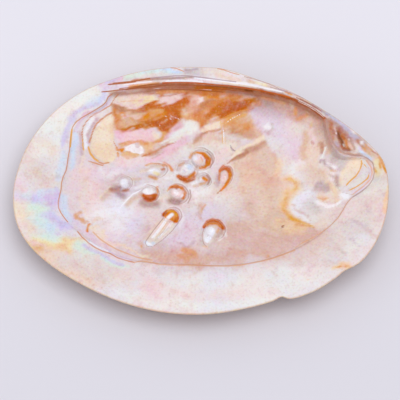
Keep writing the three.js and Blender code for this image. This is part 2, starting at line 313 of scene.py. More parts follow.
@dataclass
class ValveForm:
    """The valve's shape in the plan frame: where each point of its inner and outer face lies."""

    hollow_depth: float = 16.5
    wall_thickness: float = 3.1
    rim_thickness: float = 1.3
    rim_rounding: float = 0.35
    # How far the rim's middle has come down, and how much its outer side is rounded beside its inner one.
    rim_fullness: float = 0.4
    outer_rounding: float = 0.5
    # The share of the way in over which the rim's chips fade is one over this.
    chip_fade: float = 4.0
    # The wall and the border fall evenly by a share of their drop, and in a curve by the rest.
    wall_even: float = 0.5
    border_even: float = 0.25
    border_curve: float = 1.6
    # The share of the border over which the relief sets in is one over this.
    relief_onset: float = 6.0
    flank_fullness: float = 0.46
    pole: Point = (-5.0, 5.0)
    rim_points: Line = (
        (-90.5, 0), (-88.5, -15), (-83, -25.5), (-73, -35.5), (-58, -45.5), (-39, -54.5), (-18, -60),
        (3, -61), (22, -58), (34, -54.5), (38, -52.5), (42, -53.5), (54, -49.5), (64, -43), (67.5, -40),
        (75.5, -35.5), (83, -26), (88.5, -12.5), (90.5, 3), (88.5, 16), (81.5, 25.5), (70.5, 35.5),
        (56.5, 45.5), (44, 53), (29, 59), (12, 65), (2, 66), (-14, 66), (-29, 64), (-44, 59.5), (-60, 52),
        (-73.5, 40.5), (-83.5, 26), (-88.5, 12.5),
    )
    hollow_points: Line = (
        (-45.5, 52), (-48, 48), (-58.5, 40.5), (-63.5, 33), (-65, 21), (-68, 6), (-69, -5), (-66, -12.5),
        (-59, -19), (-46.5, -28), (-30, -33.5), (-10, -35), (13, -35.5), (33.5, -32), (53.5, -23), (66, -12),
        (73, -1.5), (82, 5), (84.5, 12), (81, 18.3), (76, 19.2), (69.5, 19.8), (65, 23.5), (62, 31),
        (60.3, 39), (51.5, 46.2), (43.5, 50.3), (25, 55.5), (5, 58), (-18, 58.5), (-34, 56),
    )
    # Sections by the angle from the front end towards the hinge: how far the border drops, how deep the floor
    # lies at the hollow's edge, how far the wall runs in plan, the outer face's slope, and its shoulder.
    sections: tuple[tuple[float, float, float, float, float, float], ...] = (
        (0, 4.2, 5.4, 1.2, 42, 0.75),
        (7, 3.4, 5.6, 1.5, 50, 0.78),
        (15, 2.5, 6.2, 1.5, 65, 0.82),
        (24, 2.5, 6.8, 0.8, 85, 0.86),
        (33, 2.3, 7.0, 0.5, 100, 0.90),
        (45, 2.0, 8.0, 0.5, 98, 0.92),
        (60, 2.0, 10.0, 0.6, 86, 0.90),
        (90, 2.0, 10.5, 0.8, 78, 0.90),
        (112, 2.0, 9.5, 1.0, 72, 0.88),
        (125, 2.0, 7.0, 1.2, 58, 0.84),
        (135, 2.8, 4.6, 1.2, 42, 0.78),
        (150, 4.2, 4.9, 1.2, 30, 0.74),
        (170, 5.5, 6.0, 1.2, 24, 0.72),
        (200, 5.8, 6.3, 1.2, 22, 0.72),
        (270, 6.2, 6.7, 1.2, 22, 0.72),
        (320, 6.2, 6.7, 1.2, 24, 0.72),
        (345, 5.2, 6.0, 1.2, 32, 0.73),
        (360, 4.2, 5.4, 1.2, 42, 0.75),
    )
    front_hollow: Swelling = Swelling((35, 14), (20, 20), -2.5)
    beak: Swelling = Swelling((48, 36), (17, 14), -2.5)
    swellings: tuple[Swelling, ...] = (
        Swelling((-49, 31), (5, 10), -0.7),
        Swelling((76.5, 13), (4, 6), -0.8),
        Swelling((70.4, 28.5), (1.8, 3.6), -1.5),
        Swelling((64.5, 29), (1.6, 6), 0.5),
        Swelling((33.9, 38.5), (1.7, 1.7), 0.8),
        Swelling((56, 31), (1.5, 1.9), 1.0),
        Swelling((60.6, 24.2), (1.5, 3.2), 0.9),
        Swelling((43, 2), (6, 9), -0.5),
    )
    ridges: tuple[Ridge, ...] = (
        Ridge(((-44, 57.5), (-27, 60), (-7, 62), (18, 58.5)), -0.8, 1.1),
        Ridge(((-20, 59.2), (-7, 60.2), (5, 60), (16, 58.4), (29, 56)), 0.8, 1.0),
        Ridge(((-23, 27.5), (-15.5, 31), (-8, 34.7), (-3, 38.5)), 1.3, 2.6),
        Ridge(((-0.5, 37), (6, 40.6), (12.5, 43.3), (23.4, 47.4)), 0.5, 1.4),
        Ridge(((14, 23), (20.3, 27.6), (25.3, 30), (31, 33.5)), 1.2, 1.8),
        Ridge(((12, 13), (12.3, 10), (8, 5)), 1.0, 1.3),
        Ridge(((-38.5, 8.3), (-44.5, 7), (-47.5, 4.3), (-49.3, 1)), 0.9, 1.1),
        Ridge(((-27, 6), (-33.4, 4.2), (-37.2, -0.6), (-39.5, -4)), 0.9, 1.1),
        Ridge(((-14.5, -7), (-20, -15), (-25, -22)), 1.3, 1.7),
        Ridge(((-18.5, -9), (-22.4, -14.4), (-26.1, -21.4)), 0.4, 0.6),
        Ridge(((-12, -10), (-16, -17), (-22.2, -23.4)), 0.4, 0.6),
        Ridge(((6, -14.5), (2, -23)), 1.3, 1.9),
        Ridge(((9, -15), (7.3, -19), (3.4, -23.5)), 0.4, 0.7),
        Ridge(((-23, 16.5), (-31, 14), (-34.5, 11.5)), 0.8, 1.5),
        Ridge(((-25.5, 15.8), (-30, 15.6)), 0.6, 0.8),
        Ridge(((-7, 16), (-12.8, 15.2)), 0.8, 0.9),
        Ridge(((0.5, 12), (-4.8, 10.3)), 0.8, 1.0),
        Ridge(((-14, 4.5), (-20.5, 2.7)), 0.7, 1.2),
    )
    steps: tuple[Step, ...] = (
        Step(((-43.3, 44.4), (-47.7, 42.1), (-51.2, 38.3), (-53.3, 34.6), (-54.5, 30), (-54.9, 26.4),
              (-53.6, 23.4), (-51.4, 21.4), (-45.7, 19.6)), 0.45),
        Step(((-41.1, 53.5), (-43.4, 50.8), (-44.7, 47.8), (-48.5, 45.3), (-52.1, 43.7), (-54.6, 41.4),
              (-57.2, 38.5), (-58.7, 34.8), (-58.4, 31.3), (-57.9, 26.9)), 0.25),
        Step(((70.4, 6), (72.3, 7.8), (76.5, 11.5), (78.4, 15.7), (77.5, 19.3)), 0.35),
        Step(((72.1, 3.3), (77.3, 5.6), (81.5, 9.1), (82.2, 12.4), (79.7, 16.1)), 0.3),
    )
    waves: Waves = Waves(((0.10, Ripples(3, 17.0)), (0.035, Ripples(5, 5.5))))
    # The pitted ground beside the beak.
    rough_ground: Line = ((61, 41), (63, 22), (77, 20), (83, 22), (70, 36))
    rough_fade: float = 1.5
    rough_waves: Waves = Waves(((0.16, Ripples(8, 2.4, 24)), (0.22, Ripples(9, 5.0, 24))))
    pearl_edge: Point = (1.15, 0.85)
    drape_heading: float = math.radians(25.0)
    drape_sharpness: float = 7.0
    drape_clearness: Point = (-0.5, 0.7)
    # Growth is told on a scale that reaches this much at the rim.
    growth_at_rim: float = 80.0
    growth_wave: float = 7.0
    growth_wave_height: float = 0.12
    growth_sway: Waves = Waves(((0.8, Ripples(12, 24.0)),))
    beak_fade: float = 8.0
    pearls: tuple[Pearl, ...] = (
        Pearl("rear oval", (-22.5, 16.5), (4.9, 3.1), 15, 1.9),
        Pearl("white", (-7.5, 17.5), (4.3, 4.1), 0, 3.4),
        Pearl("crescent", (0, 23.5), (5.0, 4.6), 20, 3.6),
        Pearl("small tan", (1.5, 12.5), (3.1, 2.9), 0, 2.3),
        Pearl("right drop", (11.8, 14.3), (4.6, 3.0), 66, 2.3),
        Pearl("rear bead", (-37.5, 9.5), (3.2, 2.8), 50, 2.2),
        Pearl("brown bead", (-25.5, 5), (4.0, 3.5), 30, 2.8),
        Pearl("middle", (-11.5, 5), (4.4, 4.2), 0, 3.4),
        Pearl("gold drop", (-14.5, -7), (4.3, 3.6), 55, 3.0),
        Pearl("belly", (6, -14.5), (5.0, 4.4), 70, 3.4),
    )

    def __post_init__(self) -> None:
        """Works out the curves round the pole from their corners."""
        self.rim = PolarCurve.through(self.rim_points, self.pole)
        self.hollow = PolarCurve.through(self.hollow_points, self.pole)
        self.rim_from_beak = PolarCurve.through(self.rim_points, self.beak.at).evened(20)
        self.even_rim = self.rim.evened(4)
        self.even_hollow = self.hollow.evened(12)
        table = np.array(self.sections, float)
        self.section_angles = table[:, 0]
        names = ("border_drop", "floor_drop", "wall_run", "outer_slope", "shoulder")
        self.section_values = dict(zip(names, table[:, 1:].T))

    def section(self, name: str, angle: np.ndarray) -> np.ndarray:
        """Gives one measure of the section at each angle, eased between the listed ones."""
        values = self.section_values[name]
        after = np.clip(np.searchsorted(self.section_angles, angle, side="left"), 1, len(values) - 1)
        start, end = self.section_angles[after - 1], self.section_angles[after]
        eased = smoothstep(0.0, 1.0, (angle - start) / (end - start))
        return values[after - 1] + (values[after] - values[after - 1]) * eased

    def plan(self, angle: np.ndarray, radius: np.ndarray) -> tuple[np.ndarray, np.ndarray]:
        """Turns an angle and a radius into u and v."""
        turn = np.radians(angle)
        return self.pole[0] + radius * np.cos(turn), self.pole[1] + radius * np.sin(turn)

    def relief(self, u: np.ndarray, v: np.ndarray) -> np.ndarray:
        """Gives all that stands on the inner face or is sunk in it, pearls included."""
        forms = (*self.swellings, *self.ridges, *self.steps, *self.pearls)
        total = sum(form.rise(u, v) for form in forms)
        rough = bell(inside_distance(self.rough_ground, u, v).clip(None, 0) / self.rough_fade)
        return total + self.waves.at(u, v) + rough * self.rough_waves.at(u, v)

    def on_pearls(self, u: np.ndarray, v: np.ndarray) -> np.ndarray:
        """Gives 1 on the pearls and 0 beside them."""
        nearest = np.min([pearl.polar(u, v)[0] for pearl in self.pearls], axis=0)
        return smoothstep(*self.pearl_edge, nearest)

    def drape(self, u: np.ndarray, v: np.ndarray) -> tuple[np.ndarray, np.ndarray]:
        """Follows the edge of the nacre that drapes the pearls.

        Args:
            u: places along the valve.
            v: places across the valve.

        Returns:
            The distance from the pearls, 1 at their feet, joined round a cluster, and how clear the edge is:
            most on the side away from their tails.
        """
        polars = [pearl.polar(u, v) for pearl in self.pearls]
        nears = np.exp([-self.drape_sharpness * np.minimum(away, FAR_AWAY) for away, _ in polars])
        turned = [np.cos(bearing - self.drape_heading) for _, bearing in polars]
        clear = [smoothstep(*self.drape_clearness, facing) for facing in turned]
        total = nears.sum(axis=0)
        return -np.log(total) / self.drape_sharpness, (nears * clear).sum(axis=0) / total

    def floor_height(self, angle: np.ndarray, radius: np.ndarray) -> np.ndarray:
        """Gives the smooth bowl of the floor, without its relief."""
        share = radius / self.even_hollow.radius(angle)
        u, v = self.plan(angle, radius)
        bowl = -self.hollow_depth + (self.hollow_depth - self.section("floor_drop", angle)) * share**2
        return bowl + self.front_hollow.rise(u, v) * np.maximum(0.0, 1.0 - share**4)

    def rim_radius(self, angle: np.ndarray, share: np.ndarray) -> np.ndarray:
        """Gives the rim with its chips at the very edge, and without them further in."""
        blend = np.minimum(1.0, self.chip_fade * share)
        return self.rim.radius(angle) * (1.0 - blend) + self.even_rim.radius(angle) * blend

    def floor_point(self, angle: np.ndarray, share: np.ndarray) -> tuple[np.ndarray, np.ndarray]:
        """Gives radius and height on the floor, share 1 being the foot of the wall."""
        radius = share * (self.hollow.radius(angle) - self.section("wall_run", angle))
        return radius, self.floor_height(angle, radius) + self.relief(*self.plan(angle, radius))

    def wall_point(self, angle: np.ndarray, share: np.ndarray) -> tuple[np.ndarray, np.ndarray]:
        """Gives radius and height on the low wall, share 0 being its foot and 1 the hollow's edge."""
        top = self.hollow.radius(angle)
        foot = top - self.section("wall_run", angle)
        radius = foot * (1.0 - share) + top * share
        down = 1.0 - share
        fall = self.wall_even * down + (1.0 - self.wall_even) * smoothstep(0.0, 1.0, down)
        height = -self.section("border_drop", angle) * (1.0 - fall) + self.floor_height(angle, foot) * fall
        return radius, height + self.relief(*self.plan(angle, radius))

    def border_point(self, angle: np.ndarray, share: np.ndarray) -> tuple[np.ndarray, np.ndarray]:
        """Gives radius and height on the border, share 0 being the hollow's edge and 1 the rim."""
        inward = 1.0 - share
        outside = self.rim_radius(angle, inward) - self.rim_rounding
        radius = outside * share + self.hollow.radius(angle) * inward
        fall = self.border_even * inward + (1.0 - self.border_even) * inward**self.border_curve
        onset = np.minimum(1.0, self.relief_onset * inward)
        height = -self.section("border_drop", angle) * fall
        return radius, height + onset * self.relief(*self.plan(angle, radius))

    def rim_point(self, angle: np.ndarray, share: np.ndarray) -> tuple[np.ndarray, np.ndarray]:
        """Gives radius and height on the rounded rim, from its inner to its outer side."""
        edge = self.rim_radius(angle, 0.0)
        inner, outer = (1 - share) * (1 - 2 * share), share * (2 * share - 1)
        middle = 4 * share * (1 - share)
        radius = edge - self.rim_rounding * (inner + self.outer_rounding * outer)
        return radius, -self.rim_thickness * (self.rim_fullness * middle + outer)

    def back_point(self, angle: np.ndarray, share: np.ndarray) -> tuple[np.ndarray, np.ndarray, np.ndarray]:
        """Gives radius, height and slope on the middle of the outer face, share 0 being its pole."""
        radius = share * self.even_hollow.radius(angle)
        height = self.floor_height(angle, radius)
        slope = height - self.floor_height(angle, np.maximum(0.0, radius - 1.0))
        return radius, height - self.wall_thickness * np.hypot(1.0, slope), slope

    def flank_point(self, angle: np.ndarray, share: np.ndarray) -> tuple[np.ndarray, np.ndarray]:
        """Gives radius and height on the outer face from the rim, share 0, to the shoulder, share 1."""
        low_radius, low_height, slope = self.back_point(angle, self.section("shoulder", angle))
        lip = self.rim_radius(angle, share) - self.rim_rounding * self.outer_rounding
        pull = self.flank_fullness * np.hypot(lip - low_radius, -self.rim_thickness - low_height)
        turn = np.radians(self.section("outer_slope", angle))
        radii = (lip, lip - pull * np.cos(turn), low_radius + pull, low_radius)
        heights = (
            np.full(angle.shape, -self.rim_thickness),
            -self.rim_thickness - pull * np.sin(turn),
            low_height + slope * pull,
            low_height,
        )
        weights = ((1 - share) ** 3, 3 * (1 - share) ** 2 * share, 3 * (1 - share) * share**2, share**3)
        radius = sum(weight * value for weight, value in zip(weights, radii))
        return radius, sum(weight * value for weight, value in zip(weights, heights))

    def with_beak(self, angle: np.ndarray, radius: np.ndarray, height: np.ndarray) -> np.ndarray:
        """Lowers the outer face where the beak bulges, and lays its broad growth waves over it."""
        u, v = self.plan(angle, radius)
        below_rim = smoothstep(self.rim_thickness, self.rim_thickness + self.beak_fade, -height)
        wave = self.growth_wave_height * np.sin(self.growth(u, v) * 2 * math.pi / self.growth_wave)
        return height + below_rim * (self.beak.rise(u, v) + wave)

    def growth(self, u: np.ndarray, v: np.ndarray) -> np.ndarray:
        """Gives how far each place is on the way from the beak to the rim, along which the shell grew."""
        away_u, away_v = u - self.beak.at[0], v - self.beak.at[1]
        bearing = np.degrees(np.arctan2(away_v, away_u)) % 360.0
        share = np.hypot(away_u, away_v) / self.rim_from_beak.radius(bearing)
        return self.growth_at_rim * share + self.growth_sway.at(u, v)

    def place(self, band: Band, angle: np.ndarray, share: np.ndarray) -> tuple[np.ndarray, np.ndarray]:
        """Gives radius and height of points on one stretch of the surface.

        Args:
            band: the stretch.
            angle: angles round the pole in degrees.
            share: how far along the stretch each point is, from the inner face's pole outwards and back.

        Returns:
            Radii and heights.
        """
        if band is Band.FLOOR:
            return self.floor_point(angle, share)
        if band is Band.WALL:
            return self.wall_point(angle, share)
        if band is Band.BORDER:
            return self.border_point(angle, share)
        if band is Band.RIM:
            return self.rim_point(angle, share)
        if band is Band.FLANK:
            radius, height = self.flank_point(angle, share)
        else:
            radius, height, _ = self.back_point(angle, self.section("shoulder", angle) * (1.0 - share))
        return radius, self.with_beak(angle, radius, height)


@dataclass(frozen=True)
class RestPose:
    """How the valve lies on the table: its tilt, its roll, and the spot that is worn flat."""

    tilt: float = math.radians(3.0)
    roll: float = math.radians(-1.3)
    foot_flat: float = 0.3

    def turn(self) -> Matrix:
        """Gives the turn from the plan frame to the frame of the table."""
        return Matrix.Rotation(self.tilt, 4, "X") @ Matrix.Rotation(self.roll, 4, "Y")

    def lay(self, points: np.ndarray) -> tuple[np.ndarray, Matrix]:
        """Lays points of the plan frame on the table.

        Args:
            points: rows of u, v and w in millimetres.

        Returns:
            The points in metres, and the matrix from millimetres of plan to metres of the table's frame.
        """
        turned = points @ np.array(self.turn().to_3x3()).T
        low, high = turned.min(axis=0), turned.max(axis=0)
        shift = np.array([-(low[0] + high[0]) / 2, -(low[1] + high[1]) / 2, -low[2] - self.foot_flat])
        laid = turned + shift
        laid[:, 2] = np.maximum(laid[:, 2], 0.0)
        matrix = Matrix.Scale(MM, 4) @ Matrix.Translation(Vector(shift)) @ self.turn()
        return laid * MM, matrix


def linear(red: int, green: int, blue: int) -> tuple[float, float, float, float]:
    """Turns a colour as seen on a screen into the shader's linear values."""
    def channel(value: int) -> float:
        """Turns one channel."""
        share = value / 255.0
        return share / 12.92 if share <= 0.04045 else ((share + 0.055) / 1.055) ** 2.4
    return channel(red), channel(green), channel(blue), 1.0


class Tint(Enum):
    """The colours that the nacre shows, as they look on a screen; some also serve for painted highlights and
    painted shadows.
    """

    IVORY = (241, 240, 236)
    WHITE = (247, 244, 249)
    CREAM = (244, 226, 208)
    BUFF = (236, 220, 208)
    SAND = (227, 212, 208)
    STONE = (208, 198, 196)
    PEARL = (232, 224, 220)
    LILAC = (228, 212, 232)
    BORDER = (235, 224, 228)
    FLOOR = (229, 214, 219)
    OUTER = (182, 134, 98)
    VIOLET = (216, 206, 240)
    SKY = (214, 226, 246)
    CYAN = (216, 234, 238)
    MINT = (221, 238, 226)
    LEMON = (248, 232, 190)
    PEACH = (243, 208, 172)
    BLUSH = (238, 212, 198)
    PINK = (240, 202, 218)
    PETAL = (243, 216, 216)
    ROSE = (221, 181, 167)
    MAUVE = (205, 176, 182)
    PLUM = (178, 150, 156)
    SLATE = (192, 190, 212)
    RIM = (222, 192, 164)
    TAN = (224, 190, 168)
    BISCUIT = (228, 188, 148)
    CARAMEL = (226, 164, 112)
    HONEY = (232, 172, 90)
    GOLD = (222, 146, 44)
    SIENNA = (212, 138, 88)
    AMBER = (226, 142, 60)
    RUST = (200, 102, 24)
    EMBER = (186, 84, 10)
    UMBER = (196, 118, 56)
    COCOA = (192, 138, 114)
    BROWN = (176, 98, 52)
    BARK = (126, 74, 42)
    ORANGE = (230, 142, 60)
    FLAME = (210, 106, 28)
    DUSK = (184, 150, 142)


@dataclass(frozen=True)
class Photo:
    """The photo's view of the valve in its plan frame. The marks' places are given in its pixels."""

    aim: tuple[float, float, float] = (-0.5, -4.456, 0.626)
    height: float = math.radians(70.0)
    distance: float = 750.0
    focal_pixels: float = 1562.5
    middle: float = 200.0

    def axes(self) -> np.ndarray:
        """Gives the directions to the right, upwards and towards the camera, one row each."""
        low, high = math.cos(self.height), math.sin(self.height)
        return np.array([[1.0, 0.0, 0.0], [0.0, high, low], [0.0, -low, high]])

    def eye(self) -> np.ndarray:
        """Gives the camera's place."""
        return np.array(self.aim) + self.distance * self.axes()[2]

    def flat(self, across: np.ndarray, down: np.ndarray) -> tuple[np.ndarray, np.ndarray]:
        """Turns pixels across and down into millimetres along and across the valve."""
        scale = self.focal_pixels / self.distance
        v = self.aim[1] + (self.middle - down) / (scale * math.sin(self.height))
        return self.aim[0] + (across - self.middle) / scale, v

    def line(self, trail: Trail) -> Line:
        """Turns a line of the photo into millimetres along and across the valve."""
        return tuple(self.flat(across, down) for across, down in zip(trail[::2], trail[1::2]))

    def look(self, plan: np.ndarray) -> tuple[np.ndarray, np.ndarray]:
        """Finds where the photo shows places of the plan frame.

        Args:
            plan: one row of u, v and w for each place.

        Returns:
            Millimetres along and across the valve, as the marks' lines have them.
        """
        right, above, near = ((plan - self.eye()) @ self.axes().T).T
        scale = self.focal_pixels / -near
        return self.flat(self.middle + right * scale, self.middle - above * scale)


PHOTO = Photo()


@dataclass(frozen=True)
class Dab:
    """A soft stroke or dab of colour, whose half-width may differ from point to point.

    The share of the reach that fades is soft, or its layer's own where it is None.
    """

    tint: Tint
    trail: Trail
    reach: float | tuple[float, ...]
    strength: float = 0.8
    soft: float | None = None

    def box(self) -> tuple[np.ndarray, np.ndarray]:
        """Gives the corners of the box that the dab lies in."""
        margin = np.max(self.reach) * (1.0 + self.soft)
        path = PHOTO.line(self.trail)
        return np.min(path, axis=0) - margin, np.max(path, axis=0) + margin

    def cover(self, u: np.ndarray, v: np.ndarray) -> np.ndarray:
        """Gives how much of the colour lies on each place."""
        path = PHOTO.line(self.trail)
        reaches = np.broadcast_to(self.reach, len(path))
        away = np.hypot(u - path[0][0], v - path[0][1]) / reaches[0]
        for (u0, v0), (u1, v1), near, far in zip(path[:-1], path[1:], reaches[:-1], reaches[1:]):
            du, dv = u1 - u0, v1 - v0
            t = np.clip(((u - u0) * du + (v - v0) * dv) / (du * du + dv * dv), 0.0, 1.0)
            away = np.minimum(away, np.hypot(u - u0 - t * du, v - v0 - t * dv) / (near + (far - near) * t))
        return self.strength * smoothstep(1.0 + self.soft, 1.0 - self.soft, away)


@dataclass(frozen=True)
class Patch:
    """A patch of colour inside a closed outline, whose edge fades over soft millimetres to each side."""

    tint: Tint
    outline: Trail
    soft: float
    strength: float = 1.0

    def box(self) -> tuple[np.ndarray, np.ndarray]:
        """Gives the corners of the box that the patch lies in."""
        # The smooth outline may bulge a little past its corners.
        margin = self.soft + 1.0
        path = PHOTO.line(self.outline)
        return np.min(path, axis=0) - margin, np.max(path, axis=0) + margin

    def cover(self, u: np.ndarray, v: np.ndarray) -> np.ndarray:
        """Gives how much of the colour lies on each place."""
        outline = tuple(map(tuple, closed_curve(PHOTO.line(self.outline), per_point=3)))
        return self.strength * smoothstep(-self.soft, self.soft, inside_distance(outline, u, v))


@dataclass(frozen=True)
class Layer:
    """Marks laid one over the other, whose edges stray by some millimetres; streaks thin out the colour."""

    stray: float
    soft: float
    marks: tuple[Dab | Patch, ...]
    streaks: float = 0.0
    streak_pattern: Ripples = Ripples(31, 2.6, 30, 5.0)
    streak_top: float = 1.8
    feathering: float = 2.5

    def paint(self, canvas: np.ndarray, u: np.ndarray, v: np.ndarray, strays: tuple[np.ndarray, ...]) -> None:
        """Paints the marks.

        Args:
            canvas: one colour for each place, changed in place.
            u: places along the valve.
            v: places across the valve.
            strays: how far each place strays along and across the valve, for a layer that strays by a
                millimetre.
        """
        across = v * math.cos(STREAK_HEADING) - u * math.sin(STREAK_HEADING)
        along = u * math.cos(STREAK_HEADING) + v * math.sin(STREAK_HEADING)
        streak = self.streak_pattern.at(along, across)
        held = 1.0 - self.streaks * smoothstep(0.0, self.streak_top, streak)
        feather = self.feathering * self.streaks * streak
        at_u, at_v = u + self.stray * strays[0], v + self.stray * strays[1] + feather
        for mark in (mark if mark.soft is not None else replace(mark, soft=self.soft) for mark in self.marks):
            low, high = mark.box()
            near = np.nonzero((at_u > low[0]) & (at_u < high[0]) & (at_v > low[1]) & (at_v < high[1]))[0]
            share = (mark.cover(at_u[near], at_v[near]) * held[near])[:, None]
            canvas[near] += (np.array(linear(*mark.tint.value)) - canvas[near]) * share


@dataclass(frozen=True)
class Thread:
    """One run of a thin line, and its half-width."""

    width: float
    trail: Trail


@dataclass(frozen=True)
class Hairline:
    """A kind of thin line on the inner face: its colour, how strong it is and where it runs."""

    name: str
    tint: Tint
    strength: float
    threads: tuple[Thread, ...]

    def away(self, u: np.ndarray, v: np.ndarray) -> np.ndarray:
        """Gives the distance to the nearest thread, in half-widths of it."""
        nearest = np.full(u.shape, FAR_AWAY)
        for thread in self.threads:
            nearest = np.minimum(nearest, distance_to_line(PHOTO.line(thread.trail), u, v) / thread.width)
        return nearest


# The marks were placed one by one. LAYERS, below them, gives the order in which they are laid.
BORDER_LAYER = Layer(1.6, 0.9, (
    Dab(Tint.IVORY, (104, 93, 84, 102, 62, 118, 48, 136), 8, 0.9, 0.8),
    Dab(Tint.SAND, (26, 152, 32, 166, 40, 176, 50, 186), 6, 0.75),
    Dab(Tint.BLUSH, (30, 142, 42, 140, 50, 147), 3, 0.55),
    Dab(Tint.IVORY, (34, 150, 44, 152), 3, 0.5),
    Dab(Tint.PEARL, (54, 160, 56, 182), 3.5, 0.6),
    Dab(Tint.BISCUIT, (36, 172), 2, 0.3),
    Dab(Tint.PETAL, (18, 184, 24, 188), 2.6),
    Dab(Tint.LILAC, (18, 199, 24, 199, 36, 200), 2.6, 0.95, 0.8),
    Dab(Tint.VIOLET, (38, 199, 48, 202, 58, 199), 3.2, 0.9),
    Dab(Tint.SKY, (44, 193, 54, 190), 1.8),
    Dab(Tint.CYAN, (20, 194, 30, 193), 1.4, 0.5),
    Dab(Tint.MINT, (28, 206, 38, 211, 48, 216), 3.4, 0.95),
    Dab(Tint.CREAM, (18, 206, 20, 214, 30, 218), 3.6, 0.9),
    Dab(Tint.CYAN, (32, 222, 44, 224), 2.6, 0.9),
    Dab(Tint.VIOLET, (50, 214, 56, 220, 62, 227), 2.6, 0.9),
    Dab(Tint.SKY, (46, 229, 54, 231), 1.8),
    Dab(Tint.BUFF, (26, 226, 32, 234, 40, 240), 3, 0.9),
    Dab(Tint.MINT, (44, 235, 52, 237, 62, 238), 2.2, 0.9),
    Dab(Tint.LEMON, (42, 241, 52, 242, 66, 243), 2.2, 1),
    Dab(Tint.PEACH, (38, 249, 46, 250, 58, 247, 68, 247), 3.2, 1),
    Dab(Tint.CARAMEL, (38, 252, 44, 254, 50, 254), 1.2, 0.6),
    Dab(Tint.BISCUIT, (30, 245, 36, 251, 44, 257), 1.6, 0.6),
    Dab(Tint.PETAL, (34, 242, 38, 246), 1.6, 0.6),
    Dab(Tint.LEMON, (70, 246, 78, 244), 2.4, 0.7),
    Dab(Tint.PEARL, (78, 252, 88, 257), 3, 0.9),
    Dab(Tint.MINT, (80, 246, 92, 253, 108, 261, 124, 265), 1.6, 0.9),
    Dab(Tint.CYAN, (98, 256, 106, 260), 1.2, 0.7),
    Dab(Tint.BLUSH, (50, 260, 66, 271, 88, 281), 4.5, 0.95),
    Dab(Tint.SAND, (68, 261, 84, 268, 110, 274), 4),
    Dab(Tint.BLUSH, (118, 282, 126, 280), 4, 0.35),
    Dab(Tint.MAUVE, (158, 271, 172, 270, 196, 270), 1.6, 0.3),
    Dab(Tint.IVORY, (180, 290, 250, 286, 312, 272), 7, 0.55),
    Dab(Tint.PETAL, (150, 286, 200, 296, 240, 294), 3, 0.5),
    Dab(Tint.IVORY, (120, 292, 160, 304, 220, 308, 280, 298), 2.5, 0.6),
    Dab(Tint.STONE, (300, 262, 322, 254, 336, 244), 2.5, 0.3),
    Dab(Tint.SAND, (330, 248, 350, 226, 370, 205, 380, 184), 10, 0.85),
    Dab(Tint.IVORY, (346, 250, 362, 238), 2.5, 0.4),
    Dab(Tint.PETAL, (344, 216, 352, 206), 3, 0.4),
    Dab(Tint.MAUVE, (350, 218, 360, 225, 371, 228), 1, 0.5, 0.8),
    Dab(Tint.MAUVE, (367, 204, 370, 216), 0.8, 0.4, 0.8),
    Dab(Tint.MAUVE, (353, 239, 360, 246), 0.6, 0.5, 0.8),
    Dab(Tint.MAUVE, (330, 238, 336, 246, 346, 252), 0.8, 0.4, 0.8),
    Dab(Tint.ROSE, (370, 230, 376, 240), 1.2, 0.4, 0.8),
    Dab(Tint.PEARL, (370, 184, 364, 196), 2.4, 0.7, 0.8),
    Dab(Tint.STONE, (380, 178, 384, 190), 1.8, 0.6, 0.8),
    Dab(Tint.PEACH, (387, 190, 386, 202, 384, 212), 1, 0.8, 0.8),
    Dab(Tint.PEACH, (336, 267, 343, 264, 350, 268), 2, 0.9, 0.7),
    Dab(Tint.CARAMEL, (338, 267), 0.9, 0.9, 0.6),
    Dab(Tint.CARAMEL, (344, 266), 0.8, 0.8, 0.6),
    Dab(Tint.PEACH, (308, 280), 0.8, 0.7, 0.8),
))

PALLIAL_LAYER = Layer(0.7, 0.9, (
    Dab(Tint.VIOLET, (106, 90, 104, 97, 96, 103, 84, 109, 75, 115, 69, 124, 66, 134, 64, 144), 1.4),
    Dab(Tint.SKY, (98, 98, 88, 104), 1.8, 0.6),
    Dab(Tint.SKY, (64, 152, 62, 166, 59, 178), 1.6, 0.7),
    Dab(Tint.VIOLET, (57, 190, 55, 200), 1.4),
    Dab(Tint.LILAC, (110, 96, 108, 103, 100, 109, 90, 114, 80, 121, 76, 130), 1.1, 0.85, 0.7),
    Dab(Tint.SKY, (75, 134, 74, 146, 72, 158, 71, 168), 1.2),
    Dab(Tint.PETAL, (75, 170, 72, 186), 1.2, 0.6),
    Dab(Tint.SKY, (64, 198, 64, 208, 70, 218), 1.8, 0.9, 0.8),
    Dab(Tint.SKY, (88, 241, 98, 246, 108, 251), 0.8, 0.8, 0.8),
    Dab(Tint.VIOLET, (84, 246, 96, 253, 112, 260, 124, 264), 0.9, 0.8, 0.8),
    Dab(Tint.LILAC, (104, 250, 118, 256, 130, 260), 0.7, 0.7, 0.8),
    Dab(Tint.LILAC, (72, 218, 84, 230, 94, 238), 1.6, 0.7),
    Dab(Tint.CREAM, (86, 146, 82, 166, 80, 184, 79, 198, 82, 208, 88, 216), 0.9, 0.7, 0.8),
    Dab(Tint.MAUVE, (80, 131, 79, 140, 81, 148, 83, 154), 0.8, 0.7, 0.8),
    Dab(Tint.WHITE, (94.5, 118.5, 89, 124, 86, 131, 85, 139, 86, 147), 1, 0.9, 0.6),
    Dab(Tint.MAUVE, (98, 119, 92, 125, 88.5, 133, 88, 141), 0.8, 0.75, 0.7),
    Dab(Tint.PINK, (78, 124, 84, 117, 92, 112), 0.8, 0.5, 0.8),
))

